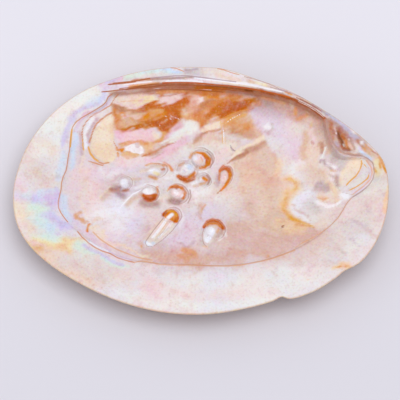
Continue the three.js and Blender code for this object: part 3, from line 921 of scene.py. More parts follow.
FLOOR_LAYER = Layer(1.6, 0.9, (
    Dab(Tint.PEARL, (150, 206, 176, 178, 206, 168, 214, 190), 7, 0.55),
    Dab(Tint.ROSE, (96, 164, 110, 180, 104, 194), 2.5, 0.35),
    Dab(Tint.MAUVE, (150, 232, 156, 246, 174, 252), 4, 0.35),
    Dab(Tint.TAN, (214, 240, 236, 226, 240, 214), 4, 0.5),
    Dab(Tint.ROSE, (150, 256, 200, 261, 260, 252), 2.2, 0.7),
    Dab(Tint.PEARL, (122, 206, 140, 212, 150, 220), 3, 0.5),
    Dab(Tint.ROSE, (238, 232, 262, 246, 290, 246, 312, 232), 7, 0.75),
    Dab(Tint.ROSE, (150, 254, 180, 257, 210, 258, 240, 256), 4.5, 0.6),
    Dab(Tint.PETAL, (84, 176, 88, 196, 96, 206), 6),
    Dab(Tint.BUFF, (84, 182, 84, 196), 2, 0.6),
    Dab(Tint.WHITE, (100, 214, 118, 208, 128, 220, 112, 230), 5.5, 0.75),
    Dab(Tint.LILAC, (120, 236, 132, 228, 140, 214), 4, 0.6),
    Dab(Tint.LILAC, (186, 228, 196, 214, 204, 206), 4.5, 0.5),
    Dab(Tint.PEARL, (192, 204, 206, 196, 214, 190), 4, 0.7),
    Dab(Tint.WHITE, (196, 192, 208, 190), 2.2, 0.5),
    Dab(Tint.LILAC, (176, 240, 188, 236), 3, 0.6),
    Dab(Tint.CREAM, (126, 234), 1.4, 0.6),
    Dab(Tint.LILAC, (96, 176, 110, 170, 124, 168), 3, 0.5),
    Dab(Tint.WHITE, (104, 172, 118, 176), 2.4, 0.5),
    Dab(Tint.PETAL, (140, 206, 132, 216), 2.5, 0.4),
    Dab(Tint.BLUSH, (240, 206, 250, 198, 258, 206, 250, 218), 6, 0.55),
    Dab(Tint.PEARL, (226, 198, 232, 208), 4, 0.6),
    Dab(Tint.BLUSH, (236, 178, 256, 170, 266, 190), 9, 0.75),
    Dab(Tint.ROSE, (250, 206, 258, 212), 3, 0.6),
    Dab(Tint.ROSE, (288, 236, 306, 232), 3.5, 0.6),
    Dab(Tint.TAN, (244, 222, 262, 216, 276, 228), 5, 0.6),
    Dab(Tint.ROSE, (266, 240, 280, 236), 3, 0.5),
    Dab(Tint.CARAMEL, (186, 250, 190, 255), 1.8, 0.7),
    Dab(Tint.CARAMEL, (182, 258, 188, 261), 1, 0.5),
    Dab(Tint.MAUVE, (181, 243, 186, 246, 192, 240), 1, 0.6),
    Dab(Tint.ROSE, (142, 240, 144, 248), 1.4, 0.6),
    Dab(Tint.CARAMEL, (143, 245), 0.8, 0.7, 0.8),
    Dab(Tint.ROSE, (200, 208, 200, 216), 1.4, 0.6, 0.8),
    Dab(Tint.CARAMEL, (202, 208), 0.8, 0.6, 0.8),
    Dab(Tint.CARAMEL, (267, 255), 0.9, 0.7, 0.8),
    Dab(Tint.CARAMEL, (248, 170), 0.7, 0.5, 0.8),
    Dab(Tint.CARAMEL, (77, 217, 83, 218), 1.1, 0.8, 0.8),
    Dab(Tint.CARAMEL, (86, 220, 88, 220), 0.7, 0.6, 0.8),
    Dab(Tint.AMBER, (91, 223, 91, 230), 0.7, 0.9, 0.7),
    Dab(Tint.BLUSH, (94, 219, 97, 217), 1.2, 0.8, 0.8),
    Dab(Tint.CREAM, (94, 228, 102, 236, 112, 243, 124, 249, 138, 255, 150, 258), 0.9, 0.8, 0.8),
    Dab(Tint.SAND, (232, 216, 248, 214, 274, 213), 3.2, 0.75),
    Dab(Tint.IVORY, (364, 190, 382, 187), 2.2, 0.5),
))

FRONT_LAYER = Layer(1, 0.9, (
    Patch(Tint.PEARL, (250, 114, 258, 124, 300, 122, 316, 132, 322, 160, 338, 176, 340, 204, 322, 228,
        296, 222, 280, 196, 286, 182, 270, 148), 2.5, 0.8),
    Dab(Tint.LILAC, (262, 122, 276, 132, 284, 146, 294, 152), 6, 0.7),
    Dab(Tint.PEARL, (272, 140, 284, 156, 292, 172), 3, 0.6),
    Patch(Tint.TAN, (236, 152, 252, 146, 264, 139, 270, 151, 276, 164, 279, 176, 283, 188, 281, 200,
        286, 214, 297, 225, 284, 233, 262, 226, 248, 214, 240, 192, 236, 168), 1.4, 0.62),
    Dab(Tint.BLUSH, (244, 186, 254, 196, 262, 208), 4, 0.6),
    Dab(Tint.SIENNA, (273, 157, 276, 163), 1, 0.35),
    Dab(Tint.ROSE, (252, 164, 262, 172, 270, 184), 3, 0.5),
    Dab(Tint.MAUVE, (256, 108, 272, 112, 290, 112), 3.5),
    # The small bead: a painted highlight on top, with painted shadow below and beside it.
    Dab(Tint.WHITE, (266.5, 127, 269, 128), 1.1, 0.95, 0.7),
    Dab(Tint.MAUVE, (265, 132, 270, 132.5), 0.7, 0.7, 0.8),
    Dab(Tint.STONE, (271, 125, 271.5, 130), 0.5, 0.7, 0.8),
    Dab(Tint.WHITE, (296, 174, 298, 166, 302, 160), 3, 0.6),
    # Painted shadow under the hinge, along the top of the front floor.
    Dab(Tint.DUSK, (262, 96, 280, 101, 298, 108, 312, 117, 320, 126, 326, 142), 4.2, 0.85, 0.7),
    Dab(Tint.ROSE, (278, 106, 292, 112, 304, 120), 2.4, 0.5),
    # Painted shade on the wall beside the beak.
    Dab(Tint.DUSK, (323, 124, 326, 136, 331, 148, 337, 156), 2.2, 0.7),
    Dab(Tint.STONE, (330, 152, 338, 160), 2.2, 0.7),
    Dab(Tint.BLUSH, (308, 122, 318, 132, 322, 142), 3, 0.6, 0.8),
    Patch(Tint.BLUSH, (309, 126, 318, 134, 321, 148, 318, 164, 310, 170, 304, 162, 301, 150, 303, 140,
        306, 133), 1.4, 0.9),
    Dab(Tint.TAN, (308, 133, 303.5, 142, 302, 151, 304, 158), 1.7),
    Dab(Tint.BISCUIT, (311, 123, 311, 128), 0.9, 0.9, 0.8),
    Dab(Tint.PETAL, (312, 130, 314, 142), 1.6, 0.8, 0.8),
    # A painted highlight on the first small bump, with painted shadow below it.
    Dab(Tint.PETAL, (314.5, 138.5, 315, 142), 0.8, 1, 0.6),
    Dab(Tint.COCOA, (312.5, 142.5, 314.5, 143), 0.7, 0.8, 0.8),
    Dab(Tint.CARAMEL, (296, 108, 296.5, 112.5), 0.8, 0.8, 0.8),
    Dab(Tint.CARAMEL, (299, 117, 304, 115.5), 0.9, 0.7, 0.8),
    Dab(Tint.PEARL, (291, 104, 293, 106), 0.9, 0.7, 0.8),
    Dab(Tint.COCOA, (320.5, 143, 321.5, 152), 0.7, 0.7, 0.7),
    Dab(Tint.TAN, (325, 146, 328, 154), 1, 0.7, 0.8),
    # A painted highlight down the second small bump.
    Dab(Tint.IVORY, (323.5, 149, 323.5, 156), 0.4, 0.95, 0.8),
    Dab(Tint.PLUM, (323.5, 159, 322, 162), 0.6, 0.7, 0.7),
    Dab(Tint.PLUM, (326, 160, 327.5, 166, 330, 170), 0.8, 0.7, 0.8),
    Dab(Tint.WHITE, (330, 164, 334, 166), 0.9, 0.9, 0.7),
    Dab(Tint.BISCUIT, (329, 170, 334, 170), 0.5, 0.8, 0.7),
    Dab(Tint.WHITE, (330, 173, 333, 174), 0.6, 0.8, 0.7),
    Dab(Tint.MAUVE, (329, 176, 334, 176), 0.5, 0.8, 0.7),
    Dab(Tint.WHITE, (331, 178.5, 333, 178.5), 0.6, 0.9, 0.7),
    Dab(Tint.BLUSH, (306, 168, 314, 178, 322, 178), 4, 0.7),
    Dab(Tint.TAN, (312, 172, 320, 176), 2, 0.5),
    Dab(Tint.PEACH, (329, 184, 334, 192, 338, 198), 1.6, 0.7, 0.8),
    Patch(Tint.PLUM, (315, 187, 319, 182, 327, 183, 329, 188, 323, 192, 317, 190), 1.1, 0.65),
    Dab(Tint.MAUVE, (314, 189, 322, 191), 1.2, 0.6),
    Dab(Tint.BLUSH, (321, 196, 330, 198, 338, 196), 1.8, 0.9, 0.8),
    Dab(Tint.CARAMEL, (319, 198, 324, 199, 328, 197), 0.5, 0.6, 0.8),
    Dab(Tint.CARAMEL, (321, 202, 327, 202), 0.4, 0.5, 0.8),
    Dab(Tint.WHITE, (321, 205, 331, 206, 341, 202), (2.2, 1.2, 0.7), 0.95, 0.6),
    # Painted shadow below the white band.
    Dab(Tint.STONE, (311, 206, 318, 209), 2, 0.7),
    Dab(Tint.WHITE, (292, 206, 300, 198, 308, 192), 2.8, 0.6),
    Dab(Tint.WHITE, (296, 212, 306, 221), 2.4, 0.6),
    Dab(Tint.SAND, (301, 209, 308, 216), 1.2, 0.5),
    Dab(Tint.ROSE, (292, 203, 301, 211, 311, 219), 0.4, 0.6, 0.8),
    Dab(Tint.BLUSH, (318, 226, 326, 224), 2, 0.6),
    Dab(Tint.PEACH, (286, 179.5, 291, 179, 295.5, 182.5, 297, 188, 294.5, 192), 2.2, 0.9, 0.8),
    Dab(Tint.HONEY, (286, 179.5, 291, 179.5, 295, 183, 296.5, 188, 294, 192, 288, 193), 0.8, 0.45),
    Dab(Tint.BLUSH, (284, 186, 288, 190), 2, 0.8, 0.8),
    Dab(Tint.PEACH, (288, 194, 284.5, 200, 285, 207, 288.5, 214, 295, 221), 2.6, 0.9, 0.8),
    Dab(Tint.CARAMEL, (284, 210, 289, 218, 297, 225), 1.8, 0.4),
    Dab(Tint.HONEY, (287, 195, 284.5, 200, 285, 207, 288.5, 213.5,
        293, 219), (0.7, 1.1, 1.1, 1.2, 1.2), 0.5),
    Dab(Tint.HONEY, (292.5, 219, 298, 223, 306, 225.5, 315, 229), (1.5, 1.3, 1, 0.5), 0.85),
    Dab(Tint.PEACH, (278, 222, 290, 228, 302, 229), 2.2),
    Dab(Tint.CARAMEL, (296, 226, 304, 227.5), 0.7, 0.6),
    Dab(Tint.PEACH, (279, 164, 278, 172), 1.8, 0.6),
))

SCAR_LAYER = Layer(0.35, 0.9, (
    Patch(Tint.CREAM, (112, 114, 105.5, 116.5, 99, 123.5, 94, 130.5, 91.5, 137.5, 90, 144.5, 91.5, 151.5,
        96, 157, 102.5, 161, 109, 162.5, 114.5, 158, 115.5, 150, 113, 141, 113, 131, 113.5, 118.5), 0.35),
    Dab(Tint.PEACH, (98, 150, 106, 155, 111, 150), 3.5, 0.55),
    Dab(Tint.BISCUIT, (112, 125, 112, 138), 1.2, 0.35),
    Dab(Tint.WHITE, (97, 126, 100, 123), 0.6, 0.7, 0.7),
    Patch(Tint.CREAM, (350, 160, 356, 157, 360, 158, 361, 166, 357, 174, 350, 181, 344, 186, 340, 183,
        341, 172), 0.5),
    Dab(Tint.BUFF, (352, 172, 346, 182), 2.5, 0.7),
    Dab(Tint.PEARL, (363.5, 160, 366, 170, 362, 178, 352, 187, 344, 189), 1.2, 0.9, 0.6),
    Dab(Tint.ROSE, (367, 158, 371, 163), 1, 0.8, 0.8),
    Dab(Tint.LILAC, (373, 168, 371, 178, 363, 187, 354, 194), 0.6, 0.8, 0.7),
    Dab(Tint.STONE, (346, 158, 341, 167), 1.6, 0.7, 0.8),
    Dab(Tint.DUSK, (337, 177, 338, 185), 1.2, 0.7, 0.8),
    Dab(Tint.WHITE, (342, 196, 347, 197), 1.6, 0.9, 0.6),
))

STAIN_LAYER = Layer(0.9, 0.9, (
    Patch(Tint.CARAMEL, (112, 106, 124, 104, 140, 105, 158, 101, 176, 101, 190, 95, 206, 94, 232, 94,
        256, 97, 252, 104, 245, 111, 236, 115, 222, 118, 208, 123, 201, 129, 196, 124, 186, 119, 176, 127,
        167, 137, 158, 129, 140, 130, 124, 132, 115, 127, 113, 116), 1.3, 0.95),
    Dab(Tint.SIENNA, (150, 110, 164, 112, 176, 110, 188, 104), 2.6, 0.9),
    Dab(Tint.SIENNA, (196, 112, 204, 116, 202, 124), 1.8, 0.75),
    Dab(Tint.SIENNA, (202, 105, 214, 103, 228, 99, 244, 97), 2, 0.7),
    Dab(Tint.AMBER, (142, 116, 154, 116, 164, 114), 1.8, 0.85),
    Dab(Tint.RUST, (138, 109, 150, 106.5, 162, 106, 176, 102,
        188, 98), (0.8, 1.5, 1.5, 1.6, 1.2), 0.9, 0.8),
    Dab(Tint.RUST, (166, 109, 176, 108, 184, 104), 2.4, 0.85),
    Dab(Tint.RUST, (148, 124, 160, 123, 172, 118, 184, 111), (1.2, 2.4, 2.2, 1.2), 0.9),
    Dab(Tint.EMBER, (158, 125, 167, 126, 174, 122, 180, 118), (1.2, 2, 1.8, 1), 0.85),
    Dab(Tint.EMBER, (165, 131, 168, 134), 1, 0.6),
    Dab(Tint.UMBER, (122, 131, 130, 128.5, 140, 126.5, 150, 124), (0.9, 1.5, 1.6, 1.4), 0.95, 0.8),
    Dab(Tint.COCOA, (112, 107.5, 122, 109, 134, 110, 144, 109), (1, 1.3, 1.1, 0.6), 0.8, 0.8),
    Dab(Tint.COCOA, (118, 111, 126, 112), 1, 0.6),
    Dab(Tint.UMBER, (136, 121, 146, 121.5, 154, 121), 0.7, 0.7),
    Dab(Tint.TAN, (130, 115, 138, 113, 146, 112.5), (1.4, 1.7, 1), 0.75),
    Dab(Tint.PETAL, (123, 120, 132, 117, 140, 116), 1.1, 0.6),
    Dab(Tint.PETAL, (117, 124, 124, 122, 130, 123), 0.9, 0.5),
    Dab(Tint.SIENNA, (114, 112, 116, 120, 120, 128), 1.1),
    Dab(Tint.AMBER, (120, 114, 126, 118), 0.8, 0.6),
    Dab(Tint.BISCUIT, (184, 110, 190, 116, 188, 118), 1.8, 0.7),
    Dab(Tint.BISCUIT, (152, 112, 160, 112), 1.2, 0.6),
    Patch(Tint.CREAM, (114, 103, 119, 96, 136, 95, 156, 95.5, 158, 100, 150, 103.5, 134, 104.5,
        120, 104), 0.9, 0.95),
    Dab(Tint.PETAL, (118, 104, 130, 104.5, 142, 103.5), 1, 0.8, 0.8),
    Dab(Tint.PETAL, (116, 101, 132, 98, 152, 97), 1.2, 0.5),
    Dab(Tint.LEMON, (132, 101, 144, 101, 153, 100), 0.7, 0.8, 0.8),
    Dab(Tint.PINK, (134, 105, 140, 104.5), 0.8, 0.8, 0.8),
    Dab(Tint.CARAMEL, (158, 99, 160, 94), 0.7, 0.7, 0.8),
    Patch(Tint.PETAL, (159, 99, 164, 95.5, 172, 94.5, 184, 94.5, 182, 98, 175, 101, 166, 102.5,
        160, 102), 0.9, 0.95),
    Dab(Tint.PETAL, (190, 105, 194, 101, 198, 98.5, 203, 98), (1.4, 2, 1.8, 1.2), 0.9, 0.8),
    Dab(Tint.BUFF, (186, 112, 190, 106), 1.4, 0.7),
    Dab(Tint.WHITE, (200, 98.5, 203, 98), 0.9, 0.85, 0.8),
    Dab(Tint.BISCUIT, (206, 98, 216, 97.5, 226, 97), 1.1, 0.6),
    Dab(Tint.COCOA, (198, 109, 204, 105, 212, 101), 1.7, 0.6),
    Dab(Tint.RUST, (206, 118, 213, 112, 221, 108, 230, 103), (0.8, 1.6, 2, 1.6), 0.85),
    Patch(Tint.RUST, (219, 116, 223, 110, 229, 104.5, 236, 101, 246, 100, 254, 99.5, 251, 104, 246, 109.5,
        240, 113.5, 230, 116, 222, 117.5), 0.9, 0.95),
    Dab(Tint.EMBER, (222, 114, 230, 110, 240, 106, 248, 104), (1, 2, 2, 1), 0.85),
    Dab(Tint.UMBER, (248, 101, 254, 100, 258, 98), 0.8, 0.8, 0.8),
    Dab(Tint.COCOA, (230, 104, 233, 106), 0.8, 0.4),
    Dab(Tint.EMBER, (205, 92.5, 211, 92.3, 216, 94), 0.9, 0.9, 0.7),
    Dab(Tint.AMBER, (190, 93.5, 198, 93, 206, 94, 218, 96.5), 0.9, 0.85, 0.8),
    Dab(Tint.RUST, (152, 94, 162, 93.3, 172, 93.3, 184, 93.5), 0.5, 0.7, 0.8),
    Dab(Tint.IVORY, (165, 118), 0.5, 0.8, 0.8),
    Dab(Tint.IVORY, (170.5, 118.5), 0.5, 0.8, 0.8),
    Dab(Tint.IVORY, (151, 126.5), 0.4, 0.7, 0.8),
    Dab(Tint.MAUVE, (251, 107.5, 262, 105.5), 0.8, 0.9, 0.7),
    Dab(Tint.WHITE, (250, 102.5), 0.35, 0.9, 0.7),
    Dab(Tint.WHITE, (255, 103), 0.4, 0.9, 0.7),
    Dab(Tint.SIENNA, (183, 109, 188, 106, 194, 103), 1.3, 0.6),
    Dab(Tint.UMBER, (206, 118, 213, 114, 222, 110), 1.4, 0.6),
    Dab(Tint.SIENNA, (230, 116, 240, 114, 248, 110, 257, 103), 1.6, 0.75),
    Dab(Tint.TAN, (121, 126, 128, 124, 136, 122), 1.2, 0.6),
), 0.4)

FOLD_LAYER = Layer(0.5, 0.9, (
    Patch(Tint.PINK, (114, 131, 126, 131.5, 140, 131, 152, 130, 155, 136, 152, 142, 140, 143, 126, 143.5,
        118, 140), 0.9, 0.95),
    Dab(Tint.PETAL, (128, 137, 140, 136, 150, 137), 1.8, 0.7),
    Dab(Tint.PETAL, (134, 133), 1.2, 0.5),
    Dab(Tint.CREAM, (154, 134, 157, 139), 1.3, 0.9, 0.8),
    Patch(Tint.BISCUIT, (144, 144, 154, 141, 160, 136, 162, 131, 168, 133, 161, 141, 153, 148, 143, 156,
        140, 155, 144, 150), 1, 0.9),
    Dab(Tint.CARAMEL, (164, 132, 163, 137, 158, 142), 1.1),
    Dab(Tint.PEACH, (150, 144, 152, 148), 1.8, 0.5),
    Dab(Tint.CARAMEL, (121, 145, 127, 142.5, 134, 142, 141, 142, 148, 144), 0.9, 0.85, 0.8),
    # A painted reflection of the light: the white patch beside the rear scar.
    Patch(Tint.WHITE, (124, 147.5, 128.5, 144.7, 134, 145, 137.5, 147.5, 142.5, 146.5, 143, 150,
        140.5, 153.5, 135, 152, 129.5, 152, 126, 150.5), 0.3),
    Patch(Tint.BISCUIT, (120.5, 154, 126, 151.5, 135, 152.7, 139, 154.6, 135, 158, 128.5, 160,
        123.5, 158.5, 120.5, 156), 0.4),
    Dab(Tint.AMBER, (119, 149.5, 123.5, 148, 122, 151), 0.8, 0.95, 0.6),
    Dab(Tint.AMBER, (117.5, 156, 118, 154), 0.5, 0.9, 0.6),
    Dab(Tint.PETAL, (120, 162, 134, 163, 146, 160), 2.2, 0.7),
    Patch(Tint.IVORY, (188, 120.5, 196, 121, 199, 127, 193.5, 134, 185, 136, 171, 142, 157, 147.5,
        164, 140.5, 177, 129), 1.1, 0.95),
    Dab(Tint.PINK, (167, 137, 173, 131, 180, 126), 1.1, 0.7),
    Dab(Tint.BUFF, (187, 133, 178, 139, 170, 143), 1.1, 0.5),
    Patch(Tint.CREAM, (200, 131, 209, 125, 220, 120, 228, 120.5, 220, 126, 213, 130.5,
        206, 133), 0.8, 0.95),
    Patch(Tint.TAN, (222, 124, 234, 119, 247, 113, 256, 126, 263, 138, 252, 140, 238, 136,
        226, 136), 1.1, 0.95),
    Dab(Tint.CARAMEL, (226, 122, 236, 124, 247, 126), 2.4, 0.9),
    Dab(Tint.COCOA, (232, 132, 242, 134, 252, 134), 1.8, 0.5),
    Dab(Tint.SIENNA, (230, 130, 240, 131, 248, 128), (0.8, 1.3, 0.8), 0.5),
    Dab(Tint.HONEY, (228, 119, 236, 118, 244, 115), 1, 0.7),
    Patch(Tint.PEARL, (178, 150, 190, 142, 204, 138, 226, 136, 232, 148, 222, 162, 212, 158, 196, 150,
        186, 158), 1.6, 0.85),
    Dab(Tint.SAND, (214, 138, 226, 137, 238, 140), 2),
    Dab(Tint.BUFF, (212, 144, 228, 146), 2.6, 0.5),
    Dab(Tint.CREAM, (228, 150, 236, 146), 2.2, 0.5),
    # Painted shadow under the second cream ridge.
    Dab(Tint.COCOA, (193, 142.5, 198, 138.5, 203, 135, 207, 133), (0.5, 1.2, 1.1, 0.6), 0.9, 0.8),
    Dab(Tint.UMBER, (207, 132.5, 214, 130.5, 220, 128), 0.6, 0.7, 0.8),
    Dab(Tint.SIENNA, (220, 133, 224, 131), 0.7, 0.6),
    # Painted shadow under the first cream ridge.
    Dab(Tint.UMBER, (141, 157, 150, 152.5, 160, 149, 168, 146,
        176, 142.5), (0.4, 1, 1.3, 1, 0.5), 0.85, 0.8),
    Dab(Tint.PINK, (148, 160, 160, 157, 169, 151.5, 178, 145, 187, 140), 1.5, 0.9, 0.8),
    Dab(Tint.COCOA, (152, 157, 163, 153), 0.5, 0.5),
    Dab(Tint.PETAL, (216, 158, 224, 152), 2.2, 0.8, 0.8),
    # The front fold: a painted highlight on its upper side and painted shadow on its lower side.
    Dab(Tint.CREAM, (233, 156, 242, 150, 252, 145, 263, 138), 1.2, 0.95, 0.6),
    Dab(Tint.COCOA, (228, 163, 234, 158.5, 242, 155, 247, 152), (0.2, 0.7, 1, 0.8), 0.9, 0.7),
    Dab(Tint.COCOA, (247, 152, 256, 147.5, 264, 142), (1, 1.8, 1.4), 0.6, 0.8),
    Dab(Tint.PLUM, (230.5, 147, 234.5, 151), 0.3, 0.8, 0.6),
    Dab(Tint.TAN, (190, 145, 200, 141, 212, 138, 226, 141), 1.6, 0.55),
    Dab(Tint.TAN, (208, 134, 216, 132), 1, 0.5),
    Dab(Tint.ROSE, (196, 169, 204, 168), 0.9, 0.6),
), 0.2)

HINGE_LAYER = Layer(0.15, 0.8, (
    Dab(Tint.LILAC, (104, 84, 112, 80, 122, 77), 3, 0.9),
    Dab(Tint.VIOLET, (106, 81, 114, 78, 121, 75.5), 1.2, 0.95),
    Dab(Tint.PINK, (118, 80, 126, 78), 0.8, 0.6),
    Dab(Tint.MINT, (127, 77.5, 133, 75.5, 139, 73.5), 1.7, 1),
    Dab(Tint.MINT, (147, 73.5, 156, 71.5), 0.8, 0.9),
    Dab(Tint.CYAN, (140, 72, 150, 70, 158, 70), 1.4, 1),
    Dab(Tint.SKY, (162, 69, 171, 69), 0.9, 1),
    Dab(Tint.SKY, (172, 72, 180, 72.5), 1, 1),
    Dab(Tint.CYAN, (164, 72.5, 170, 72.5), 1, 0.9),
    Dab(Tint.PEARL, (142, 75.5, 165, 74.5, 184, 74), 0.8, 0.6),
    Dab(Tint.STONE, (187, 70.5, 194, 72, 202, 71), 2),
    Dab(Tint.BUFF, (204, 71, 212, 71, 222, 73), 1.8),
    Dab(Tint.BLUSH, (216, 75, 228, 78, 240, 81), 1),
    Dab(Tint.PETAL, (221, 73, 230, 76, 237, 79), 0.6),
    Dab(Tint.BISCUIT, (249, 81.5, 254, 83), 1, 0.6),
    Dab(Tint.LEMON, (257, 83, 262, 84.5, 266, 85.5), 0.8, 0.7),
    Dab(Tint.TAN, (268, 86.5, 276, 89), 0.8, 0.6),
    Dab(Tint.PLUM, (185, 69.5, 191, 70, 197, 69), 0.5, 0.7, 0.9),
    Dab(Tint.MAUVE, (186, 73, 192, 71), 0.5, 0.6, 0.9),
    Dab(Tint.COCOA, (110, 84.5, 120, 83.3, 132, 82), 0.5),
    Dab(Tint.UMBER, (132, 81, 141, 79.8, 151, 79), (0.4, 0.7, 0.8), 0.7),
    Dab(Tint.DUSK, (152, 79.5, 162, 79, 176, 78, 192, 77.5), 0.7, 0.85),
    Dab(Tint.LILAC, (105, 88.5, 115, 88, 125, 87, 133, 86), 0.9),
    # Painted highlight along a hinge tooth's crest.
    Dab(Tint.PETAL, (124, 84.6, 133, 83.6, 143, 82.4, 152, 81.4), 0.45, 0.85),
    # Painted highlight along the crest of the hinge tooth.
    Dab(Tint.WHITE, (195, 77.8, 210, 79.6, 226, 81.2, 241, 83.5, 256, 86, 270, 89,
        284, 92.3), (0.3, 0.5, 0.65, 0.65, 0.6, 0.5, 0.3), 0.95, 0.7),
    Dab(Tint.CREAM, (210, 81.5, 226, 83.2, 241, 85.2, 256, 87.7), 0.35, 0.7),
    Dab(Tint.PETAL, (186, 78.5, 200, 80.5, 214, 82), 0.5, 0.6),
    # Painted highlight along the crest of the hinge tooth.
    Dab(Tint.WHITE, (168, 81, 180, 80.6, 192, 80.6, 203, 81.4), 0.35, 0.9, 0.7),
    Dab(Tint.CARAMEL, (130, 86.8, 138, 85.5, 147, 84.3, 158, 83.6), 0.7, 0.9),
    Dab(Tint.COCOA, (112, 93.5, 122, 93, 134, 92.3, 150, 91.5), 1.3, 0.7),
    Dab(Tint.SAND, (128, 92, 138, 90.5), 0.7, 0.6, 0.9),
    Dab(Tint.LILAC, (118, 90.8, 128, 89.7), 0.4, 0.6, 0.9),
    Dab(Tint.UMBER, (126, 89.3, 136, 88, 146, 87, 156, 86), (0.4, 0.8, 1.1, 1.4), 0.85),
    Dab(Tint.COCOA, (150, 90, 166, 89.5, 182, 89.5, 200, 90, 214, 91), 2),
    Dab(Tint.SIENNA, (158, 91, 174, 90.5, 190, 91, 206, 91.5), 1, 0.6, 0.9),
    Dab(Tint.COCOA, (158, 86.3, 172, 86, 186, 86, 200, 87), 1.6, 0.95),
    Dab(Tint.BROWN, (162, 84.4, 178, 84, 194, 84.4), 0.7, 0.6, 0.9),
    Dab(Tint.CARAMEL, (158, 92.5, 170, 91.8, 184, 92.2), 0.8, 0.7),
    Dab(Tint.UMBER, (198, 87, 214, 88.3, 230, 89.3, 246, 91, 258, 92.5), 1.8, 0.95, 0.7),
    Dab(Tint.BARK, (205, 85.6, 216, 86.3, 228, 87.4, 240, 89, 252, 90.8), 0.5, 0.6),
    Dab(Tint.SIENNA, (204, 91.5, 222, 93, 240, 95), 1.6),
    Dab(Tint.DUSK, (228, 91.5, 240, 92.5, 252, 94.5, 262, 97), 1, 0.7, 0.9),
    Dab(Tint.BARK, (246, 90.3, 256, 91.6), 0.6),
    Dab(Tint.COCOA, (258, 93.5, 272, 96, 286, 100, 298, 104.5, 310, 111, 320, 119), 2),
    Dab(Tint.BROWN, (262, 91.5, 276, 94.5, 290, 98.5, 302, 103.5, 313, 109.5, 322, 116.5,
        326, 122), 0.8, 0.85, 0.7),
    Dab(Tint.CARAMEL, (262, 97, 272, 99.5, 284, 103.5), 0.8, 0.5),
    Dab(Tint.BROWN, (285, 96.3, 295, 99.7, 305, 104, 313, 108.6, 320, 113.6, 326, 119), 0.35),
    Dab(Tint.PEARL, (285, 93.5, 296, 97, 308, 102.5, 320, 109.5), 0.5),
    Dab(Tint.TAN, (290, 94, 302, 98.5, 314, 104.5), 0.3, 0.7),
    # Painted highlight along the lip near the beak.
    Dab(Tint.IVORY, (299, 101, 308, 105.5, 317, 111, 324, 116.5), 0.35, 0.9, 0.6),
    Dab(Tint.BROWN, (300, 99, 308, 103, 316, 107.5), 0.35, 0.7, 0.7),
    Dab(Tint.MAUVE, (281, 90, 286, 92), 0.6, 0.9, 0.7),
    Dab(Tint.CARAMEL, (286, 92.3, 291, 94.5), 0.5, 0.8, 0.7),
    Dab(Tint.PLUM, (312, 104, 320, 109, 328, 115), 0.7),
    Dab(Tint.SLATE, (328, 113, 334, 118, 341, 124, 347, 130, 352, 136), (0.9, 1.3, 1.8, 1.6, 1), 0.9, 0.7),
    Dab(Tint.ROSE, (316, 122, 326, 123, 334, 127), 1.4, 0.6, 0.9),
    Dab(Tint.COCOA, (134, 80, 146, 79, 158, 78), 0.5, 0.5, 0.9),
))

